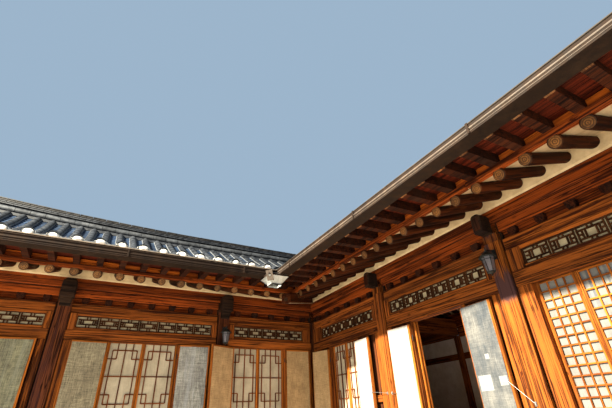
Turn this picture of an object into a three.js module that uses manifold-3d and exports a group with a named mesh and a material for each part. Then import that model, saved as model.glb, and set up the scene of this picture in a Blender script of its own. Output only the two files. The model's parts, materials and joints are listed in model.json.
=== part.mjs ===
// A traditional timber house of two wings that meet at the inner corner of its courtyard.
// Millimetres, +Z up. The origin is on the ground under that corner, where the planes of the
// two fronts cross. The left wing runs along -X, the right wing along -Y, and the courtyard
// is where both X and Y are below zero.
//
// A wing is made in its own frame: X runs along its front and falls away from the corner,
// Y goes into the house, Z is up. The right wing is the same frame with X and Y changed over.

import * as THREE from "three";
import { mergeVertices } from "three/addons/utils/BufferGeometryUtils.js";
import Module from "manifold-3d";

const wasm = await Module();
wasm.setup();

// Plan. An opening gives its place along the front and the degrees by which its two leaves
// stand off the wall. A lantern gives the column that it hangs on and its height.
const column = 210;
const depth = 4800;
const wings = {
  left: {
    bays: [2130, 2790, 2790],
    rafterPitch: 325,
    rafterStart: -4757,
    lintelBottom: 2750,
    leafTop: 2738,
    cornerPost: 215,
    head: { width: 170, bottom: 3420 },
    frontTiles: { edge: -1600, top: 3925, slope: 0.25 },
    openings: [
      { at: [-1800, -675], kind: "window", stand: [25, 4] },
      { at: [-4020, -2860], kind: "window", stand: [5, 5] },
      { at: [-6790, -5630], kind: "window", stand: [5, 5] },
    ],
    backWindow: [-4320, -2520],
    lantern: { column: 1, height: 2950 },
  },
  right: {
    bays: [2470, 2400, 2400],
    rafterPitch: 295,
    rafterStart: -5966,
    lintelBottom: 2720,
    leafTop: 2672,
    cornerPost: 330,
    head: { width: 130, bottom: 3460 },
    frontTiles: { edge: -1500, top: 3930, slope: 0.25 },
    openings: [
      { at: [-1580, -670], kind: "window", stand: [4, 18] },
      { at: [-4045, -3050], kind: "door", stand: [3, 3] },
      { at: [-6855, -5075], kind: "grid" },
    ],
    backWindow: [-4465, -2665],
    lantern: { column: 2, height: 3090 },
  },
};
const gableOverhang = 755;
const bargeboard = 40;
const platformReach = { front: 700, gable: 590, back: 600 };
const doorStep = { width: 380, along: [-4150, -2950], height: 260 };

// Heights
const platformTop = 450;
const baseStoneTop = 550;
const stoneReach = 45;
const floorTop = 900;
const sillBottom = 750;
const windowSill = 1200;
const lintelTop = 2910;
const tieBottom = 3190;
const beamBottom = 3350;
const plateBottom = 3460;
const purlinBottom = 3600;
const beamTop = 3780;
const headTop = 3720;
const midSeat = 4132;
const ridgePurlinBottom = 4900;
const backWindowHeight = [1500, 2500];
const transom = [2950, 3150];
const panelRows = [[1060, 2720], [2880, 3300]];

// Roof: the line of the long rafters, then the steeper upper slope
const eaveSlope = 0.354;
const upperSlope = 0.625;
const axisAtFront = 3915.4;
const knee = 1400;
const logRadius = 70;
const deckLift = 60;
const deckThickness = 36;
const rafterEnd = -940;
const flyingEnd = -1480;
const flyingBottom = 3700;
const flyingHeight = 100;
const flyingWidth = 90;
const flyingSlope = 0.037;
const flyingDeck = 30;
const flyingBatten = [-932, -880];
const backTiles = { edge: -1010, top: 3800, slope: 0.36 };
const ridgeSeat = 5750;
const ridgeTop = 6085;
const ridgeWidth = 300;
const sweep = { start: -2000, curve: 7.5e-6, steps: 6 };
const hip = { width: 260, height: 250 };
const tilePitch = 302;
const tileStart = -5396;
const tileRise = 85;
const tileFoot = 75;
const tileCrown = 36;
const roofSteps = 6;

// Gutter and the hopper under its corner
const gutterWidth = 200;
const gutterBottom = 3660;
const gutterTop = 3775;
const sheet = 8;
const hopper = { centre: -1690, bottom: 3490, top: 190, mouth: 100, sheet: 4 };

// Joinery
const frontFace = 20;
const frameBack = 170;
const wallPost = 125;
const panelDepth = [70, 110];
const jamb = 60;
const blockWidth = 130;
const headReach = 200;
const purlinHalf = 100;
const apron = 120;
const leafThickness = 40;
const leafLift = 12;
const hingeGap = 5;
const gap = 0.3;

// Points that follow from those
const half = column / 2;
const houseBack = depth + column;
const ridgeLine = houseBack / 2;
const far = 20000;
const eaveLean = Math.hypot(1, eaveSlope);
const logFlat = logRadius * Math.cos(Math.PI / 6);
const midPurlin = [knee - purlinHalf, knee + purlinHalf];
const ridgePurlin = [ridgeLine - purlinHalf, ridgeLine + purlinHalf];
const diagonal = new THREE.Matrix4().makeBasis(
  new THREE.Vector3(Math.SQRT1_2, Math.SQRT1_2, 0),
  new THREE.Vector3(0, 0, 1),
  new THREE.Vector3(Math.SQRT1_2, -Math.SQRT1_2, 0),
);

const looks = {
  pine: { color: 0xa8622c, roughness: 0.7 },
  darkPine: { color: 0x4a2c1a, roughness: 0.65 },
  redPine: { color: 0x7a3c1c, roughness: 0.7 },
  plaster: { color: 0xd8c9a4, roughness: 0.95 },
  paper: { color: 0xe9dfc6, roughness: 0.9 },
  stone: { color: 0x9b968c, roughness: 0.95 },
  tile: { color: 0x3a3f46, roughness: 0.8 },
  gutter: { color: 0x4b4438, roughness: 0.45, metalness: 0.6 },
  zinc: { color: 0xc9cac6, roughness: 0.4, metalness: 0.8 },
  iron: { color: 0x17171a, roughness: 0.5, metalness: 0.7 },
};

// Solids

function solid(geometry) {
  const bare = geometry.clone();
  bare.deleteAttribute("normal");
  bare.deleteAttribute("uv");
  const merged = mergeVertices(bare, 1e-3);
  return new wasm.Manifold(
    new wasm.Mesh({
      numProp: 3,
      vertProperties: merged.attributes.position.array,
      triVerts: new Uint32Array(merged.index.array),
    }),
  );
}

// A box from three [from, to] pairs.
function box([x0, x1], [y0, y1], [z0, z1]) {
  const geometry = new THREE.BoxGeometry(x1 - x0, y1 - y0, z1 - z0);
  geometry.translate((x0 + x1) / 2, (y0 + y1) / 2, (z0 + z1) / 2);
  return solid(geometry);
}

function extrude(points, length, basis, origin) {
  const shape = new THREE.Shape(points.map(([u, v]) => new THREE.Vector2(u, v)));
  const geometry = new THREE.ExtrudeGeometry(shape, { depth: length, bevelEnabled: false });
  return solid(geometry.applyMatrix4(basis.clone().setPosition(...origin)));
}

// A prism across the diagonal of the corner, from an outline of [distance along it, z] points.
function acrossDiagonal(points, width) {
  const back = (-Math.SQRT1_2 * width) / 2;
  return extrude(points, width, diagonal, [back, -back, 0]);
}

// A prism along X from an outline of [y, z] points.
function alongX(points, [x0, x1]) {
  const turn = new THREE.Matrix4().set(0, 0, 1, 0, 1, 0, 0, 0, 0, 1, 0, 0, 0, 0, 0, 1);
  return extrude(points, x1 - x0, turn, [x0, 0, 0]);
}

// A body drawn along X through stations of [x, outline]. Each outline has as many [y, z]
// points as the others and runs anticlockwise when seen from +X.
function drawn(stations) {
  const outline = stations[0][1].map(([y, z]) => new THREE.Vector2(y, z));
  const count = outline.length;
  const last = (stations.length - 1) * count;
  const caps = THREE.ShapeUtils.triangulateShape(outline, []);
  const faces = caps.flatMap(([a, b, c]) => [a, c, b, last + a, last + b, last + c]);
  for (let ring = 0; ring < last; ring += count) {
    for (let i = 0; i < count; i++) {
      const [a, b] = [ring + i, ring + ((i + 1) % count)];
      faces.push(a, b, b + count, a, b + count, a + count);
    }
  }
  const points = stations.flatMap(([x, ring]) => ring.flatMap(([y, z]) => [x, y, z]));
  const geometry = new THREE.BufferGeometry();
  geometry.setAttribute("position", new THREE.Float32BufferAttribute(points, 3));
  geometry.setIndex(faces);
  return solid(geometry);
}

// An upright prism from a plan of [x, y] points.
function upright(points, [z0, z1]) {
  return extrude(points, z1 - z0, new THREE.Matrix4(), [0, 0, z0]);
}

function join(parts) {
  return parts.reduce((sum, part) => sum.add(part));
}

// The same solid mirrored by a function that moves each point.
function mirrored(source, move) {
  const { numProp, vertProperties, triVerts } = source.getMesh();
  const positions = new Float32Array((vertProperties.length / numProp) * 3);
  for (let i = 0; i < positions.length / 3; i++) {
    positions.set(move(...vertProperties.subarray(i * numProp, i * numProp + 3)), i * 3);
  }
  const turned = new Uint32Array(triVerts.length);
  for (let i = 0; i < triVerts.length; i += 3) {
    turned.set([triVerts[i], triVerts[i + 2], triVerts[i + 1]], i);
  }
  return new wasm.Manifold(new wasm.Mesh({ numProp: 3, vertProperties: positions, triVerts: turned }));
}

const otherWing = (source) => mirrored(source, (x, y, z) => [y, x, z]);
const otherSlope = (source) => mirrored(source, (x, y, z) => [x, houseBack - y, z]);
const otherEnd = (source) => mirrored(source, (x, y, z) => [-x, y, z]);

function mesh(name, source, look) {
  const { numProp, vertProperties, triVerts } = source.getMesh();
  const positions = new Float32Array((vertProperties.length / numProp) * 3);
  for (let i = 0; i < positions.length / 3; i++) {
    positions.set(vertProperties.subarray(i * numProp, i * numProp + 3), i * 3);
  }
  const geometry = new THREE.BufferGeometry();
  geometry.setAttribute("position", new THREE.BufferAttribute(positions, 3));
  geometry.setIndex(new THREE.BufferAttribute(new Uint32Array(triVerts), 1));
  geometry.computeVertexNormals();
  const made = new THREE.Mesh(geometry, new THREE.MeshStandardMaterial(looks[look]));
  made.name = name;
  return made;
}

// Lines of a wing

// Centres of the wing's columns along its front, the corner column first.
function columnCentres(wing) {
  const centres = [half];
  for (const bay of wing.bays) centres.push(centres[centres.length - 1] - bay);
  return centres;
}

const wallEnd = (wing) => columnCentres(wing)[3] - half;
const gableEnd = (wing) => wallEnd(wing) + half - gableOverhang;
const roofStart = (wing) => gableEnd(wing) + bargeboard;

// The clear width of a bay between its two columns, counted from the corner.
function clearBay(wing, bay) {
  const centres = columnCentres(wing);
  return [centres[bay] + half, centres[bay - 1] - half];
}

// Heights of the roof's layers above a depth y on the front slope.
const rafterAxis = (y) => axisAtFront + eaveSlope * y;
const logBottom = (y) => rafterAxis(y) - logFlat * eaveLean;
const deckBottom = (y) =>
  rafterAxis(Math.min(y, knee)) + deckLift + upperSlope * Math.max(0, y - knee);
const deckTop = (y) => deckBottom(y) + deckThickness;
const flyingUnder = (y) => flyingBottom + flyingSlope * (y - flyingEnd);
const flyingTop = (y) => flyingUnder(y) + flyingHeight + flyingDeck;

// Where two straight lines of the roof meet.
function meeting(first, second) {
  const rise = first(1) - first(0) - (second(1) - second(0));
  return (second(0) - first(0)) / rise;
}

// How far the ridge sweeps up towards the gable at x.
const lift = (x) => sweep.curve * Math.max(0, sweep.start - x) ** 2;

// Places along the wing from its gable, close enough together to follow the sweep.
function sweepStops(wing) {
  const start = roofStart(wing);
  const step = (sweep.start - start) / sweep.steps;
  return Array.from({ length: sweep.steps + 1 }, (_, i) => start + step * i);
}

// The sagging line of the tiles at x, from the eave up to the seat of the ridge.
function tileLine({ edge, top, slope }, x) {
  const run = ridgeLine - ridgeWidth / 2 - edge;
  const sag = (ridgeSeat + lift(x) - top - slope * run) / (run * run);
  return Array.from({ length: roofSteps + 1 }, (_, i) => {
    const u = (run * i) / roofSteps;
    return [edge + u, top + slope * u + sag * u * u];
  });
}

const toBack = ([y, z]) => [houseBack - y, z];

// What lies past the diagonal of the corner, which belongs to the other wing.
function pastDiagonal() {
  const shift = (gap / 2) * Math.SQRT2;
  return upright([[-far, -far + shift], [far, -far], [far, far + shift]], [-far, far]);
}

// Ground and floor

function stonePlatform() {
  const front = -platformReach.front;
  const leftEnd = wallEnd(wings.left) - platformReach.gable;
  const rightEnd = wallEnd(wings.right) - platformReach.gable;
  const back = houseBack + platformReach.back;
  const frontEdge = [[leftEnd, front], [front, front], [front, rightEnd]];
  const backEdge = [[back, rightEnd], [back, back], [leftEnd, back]];
  const slab = upright([...frontEdge, ...backEdge], [0, platformTop]);
  const step = box([front - doorStep.width, front + 10], doorStep.along, [0, doorStep.height]);
  const corner = box([-stoneReach, column], [-stoneReach, column], [platformTop - 10, baseStoneTop]);
  const leftStones = columnCentres(wings.left).slice(1).map(baseStone);
  const rightStones = columnCentres(wings.right).slice(1).map(baseStone).map(otherWing);
  return join([slab, step, corner, ...leftStones, ...rightStones]);
}

// A base stone under the column at x of a front, flush with the column on the room side.
function baseStone(x) {
  const reach = half + stoneReach;
  return box([x - reach, x + reach], [-stoneReach, column], [platformTop - 10, baseStoneTop]);
}

function floorBlock() {
  const leftEnd = wallEnd(wings.left) + column;
  const rightEnd = wallEnd(wings.right) + column;
  const front = [[leftEnd, column], [column, column], [column, rightEnd]];
  const back = [[depth, rightEnd], [depth, depth], [leftEnd, depth]];
  return upright([...front, ...back], [platformTop, floorTop]);
}

// Columns, with a slot at the head for the tie beam

function columnShaft(slotted) {
  const shaft = box([-half, half], [-half, half], [0, beamBottom - baseStoneTop]);
  if (!slotted) return shaft;
  const slot = box([-column, column], [40 - half, frameBack - half], [tieBottom - baseStoneTop, far]);
  return shaft.subtract(slot);
}

// Tie beam, the small bearing blocks on it with the board behind them, and the plate on top

function tieBeam(wing) {
  const along = [wallEnd(wing), 0];
  const tie = box(along, [40, frameBack], [tieBottom, beamBottom]);
  const blocks = upright(blockPlan(wing), [beamBottom - 5, plateBottom + 5]);
  const plate = box(along, [30, 180], [plateBottom, purlinBottom]);
  const [, first, second] = columnCentres(wing);
  const frames = [first, second].map((x) =>
    box([x - half, x + half], [0, column], [beamBottom, purlinBottom + 10]),
  );
  return join([tie, blocks, plate]).subtract(join(frames));
}

// The plan of the board behind the blocks, with the blocks of each bay as its teeth.
function blockPlan(wing) {
  const [face, board, back] = [40, 120, 150];
  const teeth = [];
  wing.bays.forEach((bay, i) => {
    const [from, to] = clearBay(wing, i + 1);
    const count = Math.round(bay / 400);
    for (let k = 0; k < count; k++) teeth.push(from + ((to - from) * (k + 0.5)) / count);
  });
  const points = [[wallEnd(wing), board]];
  for (const x of teeth.sort((a, b) => a - b)) {
    const [a, b] = [x - blockWidth / 2, x + blockWidth / 2];
    points.push([a, board], [a, face], [b, face], [b, board]);
  }
  return [...points, [0, board], [0, back], [wallEnd(wing), back]];
}

// Eave purlins, whose tops slope with the rafters that lie on them

function above(line) {
  return alongX([[-far, line(-far)], [far, line(far)], [far, far], [-far, far]], [-far, far]);
}

function frontPurlin() {
  const top = purlinBottom + 400;
  const left = box([roofStart(wings.left), column], [0, column], [purlinBottom, top]);
  const right = box([0, column], [roofStart(wings.right), column], [purlinBottom, top]);
  const rafters = above((y) => logBottom(y) - gap);
  return left.add(right).subtract(rafters.intersect(otherWing(rafters))).subtract(valleyRafter(gap));
}

function backPurlin() {
  const top = purlinBottom + 400;
  const left = box([roofStart(wings.left), houseBack], [depth, houseBack], [purlinBottom, top]);
  const right = box([depth, houseBack], [roofStart(wings.right), houseBack], [purlinBottom, top]);
  const rafters = above((y) => logBottom(houseBack - y) - gap);
  return left.add(right).subtract(rafters).subtract(otherWing(rafters));
}

// Roof frame: a cross beam at each column, posts, upper beams, and the purlins over them

function crossFrame(x, front) {
  const along = [x - half, x + half];
  const back = [[0, beamBottom], [0, purlinBottom], [column, purlinBottom], [column, beamTop]];
  const upper = [midPurlin[0], houseBack - midPurlin[0]];
  const upperBeam = midSeat - 160;
  const post = box(along, midPurlin, [beamTop - 10, upperBeam]);
  return join([
    alongX([...front, ...back.map(toBack).reverse()], along),
    post,
    otherSlope(post),
    box(along, upper, [upperBeam - 10, midSeat + 10]),
    box(along, [ridgeLine - half, ridgeLine + half], [midSeat, ridgePurlinBottom + 10]),
  ]);
}

// The head of a cross beam: a smaller block with a rounded brow, out over the column.
function beamHead(x, { width, bottom }) {
  const brow = [[-headReach, headTop - 45], [-headReach + 45, headTop], [0, headTop]];
  const tenon = [[0, purlinBottom], [half, purlinBottom], [half, bottom]];
  return alongX([[-headReach, bottom], ...brow, ...tenon], [x - width / 2, x + width / 2]);
}

function roofPurlins(wing) {
  const along = [roofStart(wing), houseBack];
  const [m0, m1] = midPurlin;
  const [r0, r1] = ridgePurlin;
  const under = (y) => deckBottom(y) - gap;
  const middle = box(along, [m0, m1], [midSeat, logBottom(m0) - gap]);
  const ridgeTopLine = [[r1, under(r0)], [ridgeLine, under(ridgeLine)], [r0, under(r0)]];
  const ridge = alongX([[r0, ridgePurlinBottom], [r1, ridgePurlinBottom], ...ridgeTopLine], along);
  return join([middle, otherSlope(middle), ridge]).subtract(pastDiagonal());
}

// At the corner the beam starts on the column in the left wing, and behind it in the right wing.
function roofFrame(wing) {
  const onColumn = [[0, beamBottom], [0, purlinBottom], [column, purlinBottom], [column, beamTop]];
  const behindColumn = [[column, beamBottom], [column, beamTop]];
  const [corner, first, second] = columnCentres(wing);
  return join([
    crossFrame(corner, wing === wings.left ? onColumn : behindColumn),
    crossFrame(first, onColumn),
    crossFrame(second, onColumn),
    beamHead(first, wing.head),
    beamHead(second, wing.head),
    roofPurlins(wing),
  ]);
}

// Rafters: logs under a deck of boards

function rafterPlaces(wing, from, to) {
  const places = [];
  const first = Math.ceil((from + logRadius - wing.rafterStart) / wing.rafterPitch);
  for (let k = first; wing.rafterStart + k * wing.rafterPitch < to; k++) {
    places.push(wing.rafterStart + k * wing.rafterPitch);
  }
  return places;
}

// The lower slope: a deck with its row of logs, as one outline drawn out along the slope.
function logSlab(places, [from, to]) {
  const deckLow = deckLift / eaveLean;
  const deckHigh = deckLow + deckThickness / eaveLean;
  const shoulder = (logRadius + 4) / 2;
  const outline = [[from, deckLow]];
  for (const x of places) {
    outline.push([x - shoulder, deckLow], [x - logRadius, 0], [x - logRadius / 2, -logFlat]);
    outline.push([x + logRadius / 2, -logFlat], [x + logRadius, 0], [x + shoulder, deckLow]);
  }
  outline.push([to, deckLow], [to, deckHigh], [from, deckHigh]);
  const top = knee + 45;
  const [c, s] = [1 / eaveLean, eaveSlope / eaveLean];
  const lean = new THREE.Matrix4().set(1, 0, 0, 0, 0, -s, -c, 0, 0, c, -s, 0, 0, 0, 0, 1);
  return extrude(outline, (top - rafterEnd) * eaveLean, lean, [0, top, rafterAxis(top)]);
}

function rafters(wing) {
  const start = roofStart(wing);
  const end = houseBack - rafterEnd;
  const upper = [knee, ridgeLine];
  const under = upper.map((y) => [y, deckBottom(y)]);
  const over = upper.map((y) => [y, deckTop(y)]);
  const upperDeck = [...under, toBack(under[0]), toBack(over[0]), ...over.reverse()];
  const front = logSlab(rafterPlaces(wing, start, knee), [start, knee + 200]);
  const back = otherSlope(logSlab(rafterPlaces(wing, start, end), [start, end + 200]));
  return join([front, back, alongX(upperDeck, [start, end])])
    .subtract(pastDiagonal())
    .subtract(valleyRafter(gap));
}

// The squared timber under the valley, on the diagonal of the inner corner.
function valleyRafter(extra) {
  const [from, to] = [-1000, 1220];
  const width = 180 + 2 * extra;
  const points = [from - extra, to + extra].map((y) => [y * Math.SQRT2, deckBottom(y) - gap + extra]);
  const outline = [...points, ...points.map(([u, z]) => [u, z - 190 - 2 * extra]).reverse()];
  return acrossDiagonal(outline, width);
}

// Flying rafters: short squared rafters on the deck, with their own boards and the batten below

function flyingRafters(wing) {
  const along = [roofStart(wing), ridgeLine];
  const seat = (y) => deckTop(y) + gap;
  const boards = (y) => flyingTop(y) - flyingDeck;
  const intoBoards = (y) => boards(y) + 3;
  const tail = meeting(seat, flyingTop);
  const rise = meeting(seat, flyingUnder);
  const middle = meeting(seat, boards);
  const on = (line, ...places) => places.map((y) => [y, line(y)]);
  const deck = [...on(boards, flyingEnd, middle), ...on(flyingTop, tail, flyingEnd)];
  const foot = on(flyingUnder, flyingEnd, rise);
  const block = [...foot, ...on(seat, middle), ...on(intoBoards, flyingEnd)];
  const [b0, b1] = flyingBatten;
  const batten = [...on(seat, b0, b1), ...on(intoBoards, b1, b0)];
  const blocks = rafterPlaces(wing, roofStart(wing), middle).map((x) =>
    alongX(block, [x - flyingWidth / 2, x + flyingWidth / 2]),
  );
  return join([alongX(deck, along), alongX(batten, along), ...blocks]).subtract(pastDiagonal());
}

// Tiled roof: the earth bed from the decks up, and the rows of round tiles that rise from it

function roofTiles(wing) {
  const { frontTiles } = wing;
  const end = houseBack - backTiles.edge;
  const seat = (y) => deckTop(y) + gap;
  const flying = (y) => flyingTop(y) + gap;
  const tail = meeting(seat, flying);
  const on = (line, ...places) => places.map((y) => [y, line(y)]);
  const front = [...on(flying, frontTiles.edge, tail), ...on(seat, knee, ridgeLine)];
  const under = [...front, ...on(seat, knee, backTiles.edge).map(toBack)];
  const lowered = (line) => [...line.map(([y, z]) => [y, z - tileRise]), line[roofSteps]];
  const section = (x) => [
    ...under,
    ...lowered(tileLine(backTiles, x)).map(toBack),
    ...lowered(tileLine(frontTiles, x)).reverse(),
  ];
  const bed = drawn([...sweepStops(wing), end].map((x) => [x, section(x)]));
  const frontRows = tilePlaces(wing, ridgeLine).map((x) => tileRow(frontTiles, x));
  const backRows = tilePlaces(wing, end).map((x) => otherSlope(tileRow(backTiles, x)));
  return join([bed, ...frontRows, ...backRows]).subtract(pastDiagonal());
}

function tilePlaces(wing, to) {
  const places = [];
  const first = Math.ceil((roofStart(wing) + tileFoot - tileStart) / tilePitch);
  for (let k = first; tileStart + k * tilePitch < to - tileFoot; k++) {
    places.push(tileStart + k * tilePitch);
  }
  return places;
}

// One row of round tiles from the eave to the ridge, with its crown on the line of the tiles.
function tileRow(tiles, x) {
  const section = (z) => [
    [x - tileFoot, z - tileRise - 5],
    [x + tileFoot, z - tileRise - 5],
    [x + tileCrown, z],
    [x - tileCrown, z],
  ];
  return otherWing(drawn(tileLine(tiles, x).map(([y, z]) => [y, section(z)])));
}

// Ridge of both wings, and the one that runs down the outer hip

function roofRidge() {
  const line = [[ridgeLine, ridgeSeat], ...tileLine(backTiles, 0).map(toBack).reverse()];
  const base = line.map(([y, z]) => [y * Math.SQRT2, z + gap]);
  const crown = base.map(([u, z]) => [u, z + hip.height]).reverse();
  const down = acrossDiagonal([...base, ...crown], hip.width);
  return join([wingRidge(wings.left), otherWing(wingRidge(wings.right)), down]);
}

function wingRidge(wing) {
  const [front, back] = [ridgeLine - ridgeWidth / 2, ridgeLine + ridgeWidth / 2];
  const places = [gableEnd(wing), ...sweepStops(wing).slice(1), back];
  return drawn(places.map((x) => {
    const [low, high] = [ridgeSeat + gap + lift(x), ridgeTop + lift(x)];
    return [x, [[front, low], [back, low], [back, high], [front, high]]];
  }));
}

function bargeboards(wing) {
  const inset = 60;
  const start = gableEnd(wing);
  const below = ([y, z]) => [y, z - inset];
  const foot = flyingEnd + 10;
  const front = tileLine(wing.frontTiles, start).map(([y, z]) => below([Math.max(y, foot), z]));
  const back = tileLine(backTiles, start).map(toBack).map(below).reverse();
  const low = [foot, -800, knee, ridgeLine, houseBack - knee, houseBack - rafterEnd];
  const lower = low.map((y) => [y, boardLow(Math.min(y, houseBack - y))]).reverse();
  const backFoot = [houseBack - backTiles.edge, boardLow(backTiles.edge)];
  return alongX([...front, ...back, backFoot, ...lower], [start, roofStart(wing)]);
}

const boardLow = (y) => Math.max(3660, Math.min(logBottom(y), deckBottom(y) - 130) - 60);

// Gutter along both eaves, with the hopper under its corner

function gutterPlan(inner) {
  const [back, front] = [flyingEnd - inner, flyingEnd - gutterWidth + inner];
  const leftEnd = gableEnd(wings.left) + inner;
  const rightEnd = gableEnd(wings.right) + inner;
  const house = [[leftEnd, back], [back, back], [back, rightEnd]];
  return [...house, [front, rightEnd], [front, front], [leftEnd, front]];
}

function gutter() {
  const corner = flyingEnd - gutterWidth + sheet;
  const outlet = [corner, corner + 32];
  return upright(gutterPlan(0), [gutterBottom, gutterTop])
    .subtract(upright(gutterPlan(sheet), [gutterBottom + sheet, gutterTop + 10]))
    .subtract(box(outlet, outlet, [gutterBottom - 10, gutterTop]));
}

// A square funnel of sheet metal, open above and below.
function gutterHopper() {
  const { centre, bottom, top, mouth } = hopper;
  const funnel = (inset, [z0, z1]) => {
    const radii = [top - inset, mouth - inset].map((reach) => reach * Math.SQRT2);
    const geometry = new THREE.CylinderGeometry(...radii, z1 - z0, 4);
    geometry.rotateY(Math.PI / 4);
    geometry.rotateX(Math.PI / 2);
    geometry.translate(centre, centre, (z0 + z1) / 2);
    return solid(geometry);
  };
  const inside = funnel(hopper.sheet, [bottom - 5, gutterBottom + 5]);
  return funnel(0, [bottom, gutterBottom]).subtract(inside);
}

// Fronts of the bays

const sillOf = (opening) => (opening.kind === "door" ? floorTop : windowSill);

// The sill of a bay on its low wall.
function bayBase(wing, bay) {
  const [from, to] = clearBay(wing, bay);
  return join([
    box([from, to], [frontFace, column], [sillBottom, floorTop]),
    box([from, to], [60, column], [baseStoneTop, sillBottom + 5]),
    box([from + stoneReach, to - stoneReach], [60, column], [platformTop, baseStoneTop + 5]),
  ]);
}

// Posts, panels, lintel and transom of a bay. Under a doorway the base is a piece of its own.
function bayFrame(wing, bay, opening) {
  const [from, to] = clearBay(wing, bay);
  const [open0, open1] = opening.at;
  const sill = sillOf(opening);
  const isDoor = opening.kind === "door";
  const near = from + wallPost;
  const next = to - (bay === 1 ? wing.cornerPost : wallPost);
  const frame = box([from, to], [frontFace, frameBack], [isDoor ? floorTop : floorTop - 5, tieBottom]);
  const wood = isDoor ? frame : frame.add(bayBase(wing, bay));
  const panelled = [floorTop, wing.lintelBottom];
  const pockets = [
    ...pocket([near, next], transom, [90, 100]),
    ...pocket([near, open0 - jamb], panelled, panelDepth),
    ...pocket([open1 + jamb, next], panelled, panelDepth),
    box([open0, open1], [-far, far], [isDoor ? floorTop - 5 : sill, wing.lintelBottom]),
  ];
  if (!isDoor) pockets.push(...pocket([open0, open1], [floorTop, sill - apron], panelDepth));
  return join([wood.subtract(join(pockets)), ...hingeLugs(opening, sill)]);
}

// The two cuts that leave a thin panel between the front and the back of a frame.
function pocket([x0, x1], z, [y0, y1]) {
  if (x1 - x0 < 40) return [];
  return [box([x0, x1], [-far, y0], z), box([x0, x1], [y1, far], z)];
}

// The lugs under the outer leaves, one at each side of the opening.
function hingeLugs(opening, sill) {
  if (opening.kind === "grid") return [];
  const top = sill + leafLift - gap;
  return opening.at.map((x, side) => {
    const out = side ? 1 : -1;
    const edges = [x + out * 4, x + out * 40].sort((a, b) => a - b);
    return box(edges, [-leafThickness, frontFace + 5], [Math.max(top - 30, floorTop), top]);
  });
}

// A leaf hangs on its hinge line at X = 0 and reaches along +X when it stands open.
function leaf(width, height) {
  const stile = 45;
  const x = [hingeGap, hingeGap + width];
  const y = [-leafThickness, 0];
  const recess = [x[0] + stile, x[1] - stile];
  const front = box(recess, [-far, -leafThickness + 12], [stile, height - stile]);
  const rear = box(recess, [-12, far], [stile, height - stile]);
  return box(x, y, [0, height]).subtract(front).subtract(rear);
}

function lattice(width, height, leaves) {
  const stile = 38;
  const parts = [box([0, width], [36, 44], [0, height])];
  const step = width / leaves;
  for (let k = 0; k < leaves; k++) {
    const outer = box([k * step, (k + 1) * step], [15, 60], [0, height]);
    const inner = box([k * step + stile, (k + 1) * step - stile], [-far, far], [stile, height - stile]);
    parts.push(outer.subtract(inner));
  }
  return join(parts);
}

// Walls away from the courtyard: timbers with set-back panels, and windows cut through

function backWall(wing, to) {
  const from = wallEnd(wing);
  const posts = [...columnCentres(wing).reverse(), ridgeLine, depth + half].filter((x) => x < to);
  const slab = box([from, to], [depth, houseBack], [platformTop, purlinBottom]);
  const pockets = [];
  posts.slice(1).forEach((x, i) => {
    for (const z of panelRows) pockets.push(box([posts[i] + half, x - half], [houseBack - 50, far], z));
  });
  const beams = columnCentres(wing)
    .slice(0, 3)
    .map((x) => box([x - half, x + half], [0, far], [beamBottom, far]));
  const [x0, x1] = wing.backWindow;
  const [z0, z1] = backWindowHeight;
  const casing = box([x0 - jamb, x1 + jamb], [depth + 20, houseBack - 20], [z0 - jamb, z1 + jamb]);
  const opening = box([x0, x1], [0, far], [z0, z1]);
  return slab.subtract(join([...pockets, ...beams])).add(casing).subtract(opening);
}

function gableWall(wing) {
  const end = wallEnd(wing);
  const wallTop = (y) => logBottom(y) - gap;
  const under = (y) => deckBottom(y) - gap;
  const slope = [[column, wallTop(column)], [knee, wallTop(knee)], [knee, under(knee)]];
  const roofLine = [...slope, [ridgeLine, under(ridgeLine)], ...slope.map(toBack).reverse()];
  const outline = [[column, platformTop], ...roofLine, [depth, platformTop]];
  const slab = alongX(outline, [end + 15, end + column]);
  const quarter = 1700;
  const posts = [half, quarter, ridgeLine, houseBack - quarter, depth + half];
  const [m0, m1] = midPurlin;
  const cuts = [
    box([-far, far], [m0, m1], [midSeat, far]),
    box([-far, far], [houseBack - m1, houseBack - m0], [midSeat, far]),
    box([-far, far], ridgePurlin, [ridgePurlinBottom, far]),
  ];
  posts.slice(1).forEach((y, i) => {
    for (const z of panelRows) cuts.push(box([-far, end + 65], [posts[i] + half, y - half], z));
  });
  return slab.subtract(join(cuts));
}

// Wall lantern: a plate on the column, an arm and the glazed body

function lantern() {
  const foot = [[0, -250], [12, -240], [40, -200], [62, -190]];
  const cap = [[92, 40], [108, 48], [70, 105], [30, 130], [12, 165], [0, 180]];
  const profile = [...foot, ...cap].map(([r, z]) => new THREE.Vector2(r, z));
  const body = new THREE.LatheGeometry(profile, 8);
  body.rotateX(Math.PI / 2);
  body.translate(0, -170, 0);
  const plate = box([-35, 35], [-14, 0], [-60, 170]);
  const arm = box([-10, 10], [-190, -5], [120, 140]);
  return join([solid(body), plate, arm]);
}

// The house

const house = new THREE.Group();
house.name = "hanok_house";

house.add(
  mesh("stone_platform", stonePlatform(), "stone"),
  mesh("floor", floorBlock(), "plaster"),
  mesh("purlin_front", frontPurlin(), "redPine"),
  mesh("purlin_back", backPurlin(), "redPine"),
  mesh("valley_rafter", valleyRafter(0), "pine"),
  mesh("roof_ridge", roofRidge(), "tile"),
  mesh("gutter", gutter(), "gutter"),
  mesh("gutter_hopper", gutterHopper(), "zinc"),
);

const cornerColumn = mesh("column_corner", columnShaft(false), "darkPine");
cornerColumn.position.set(half, half, baseStoneTop);
house.add(cornerColumn);

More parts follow.
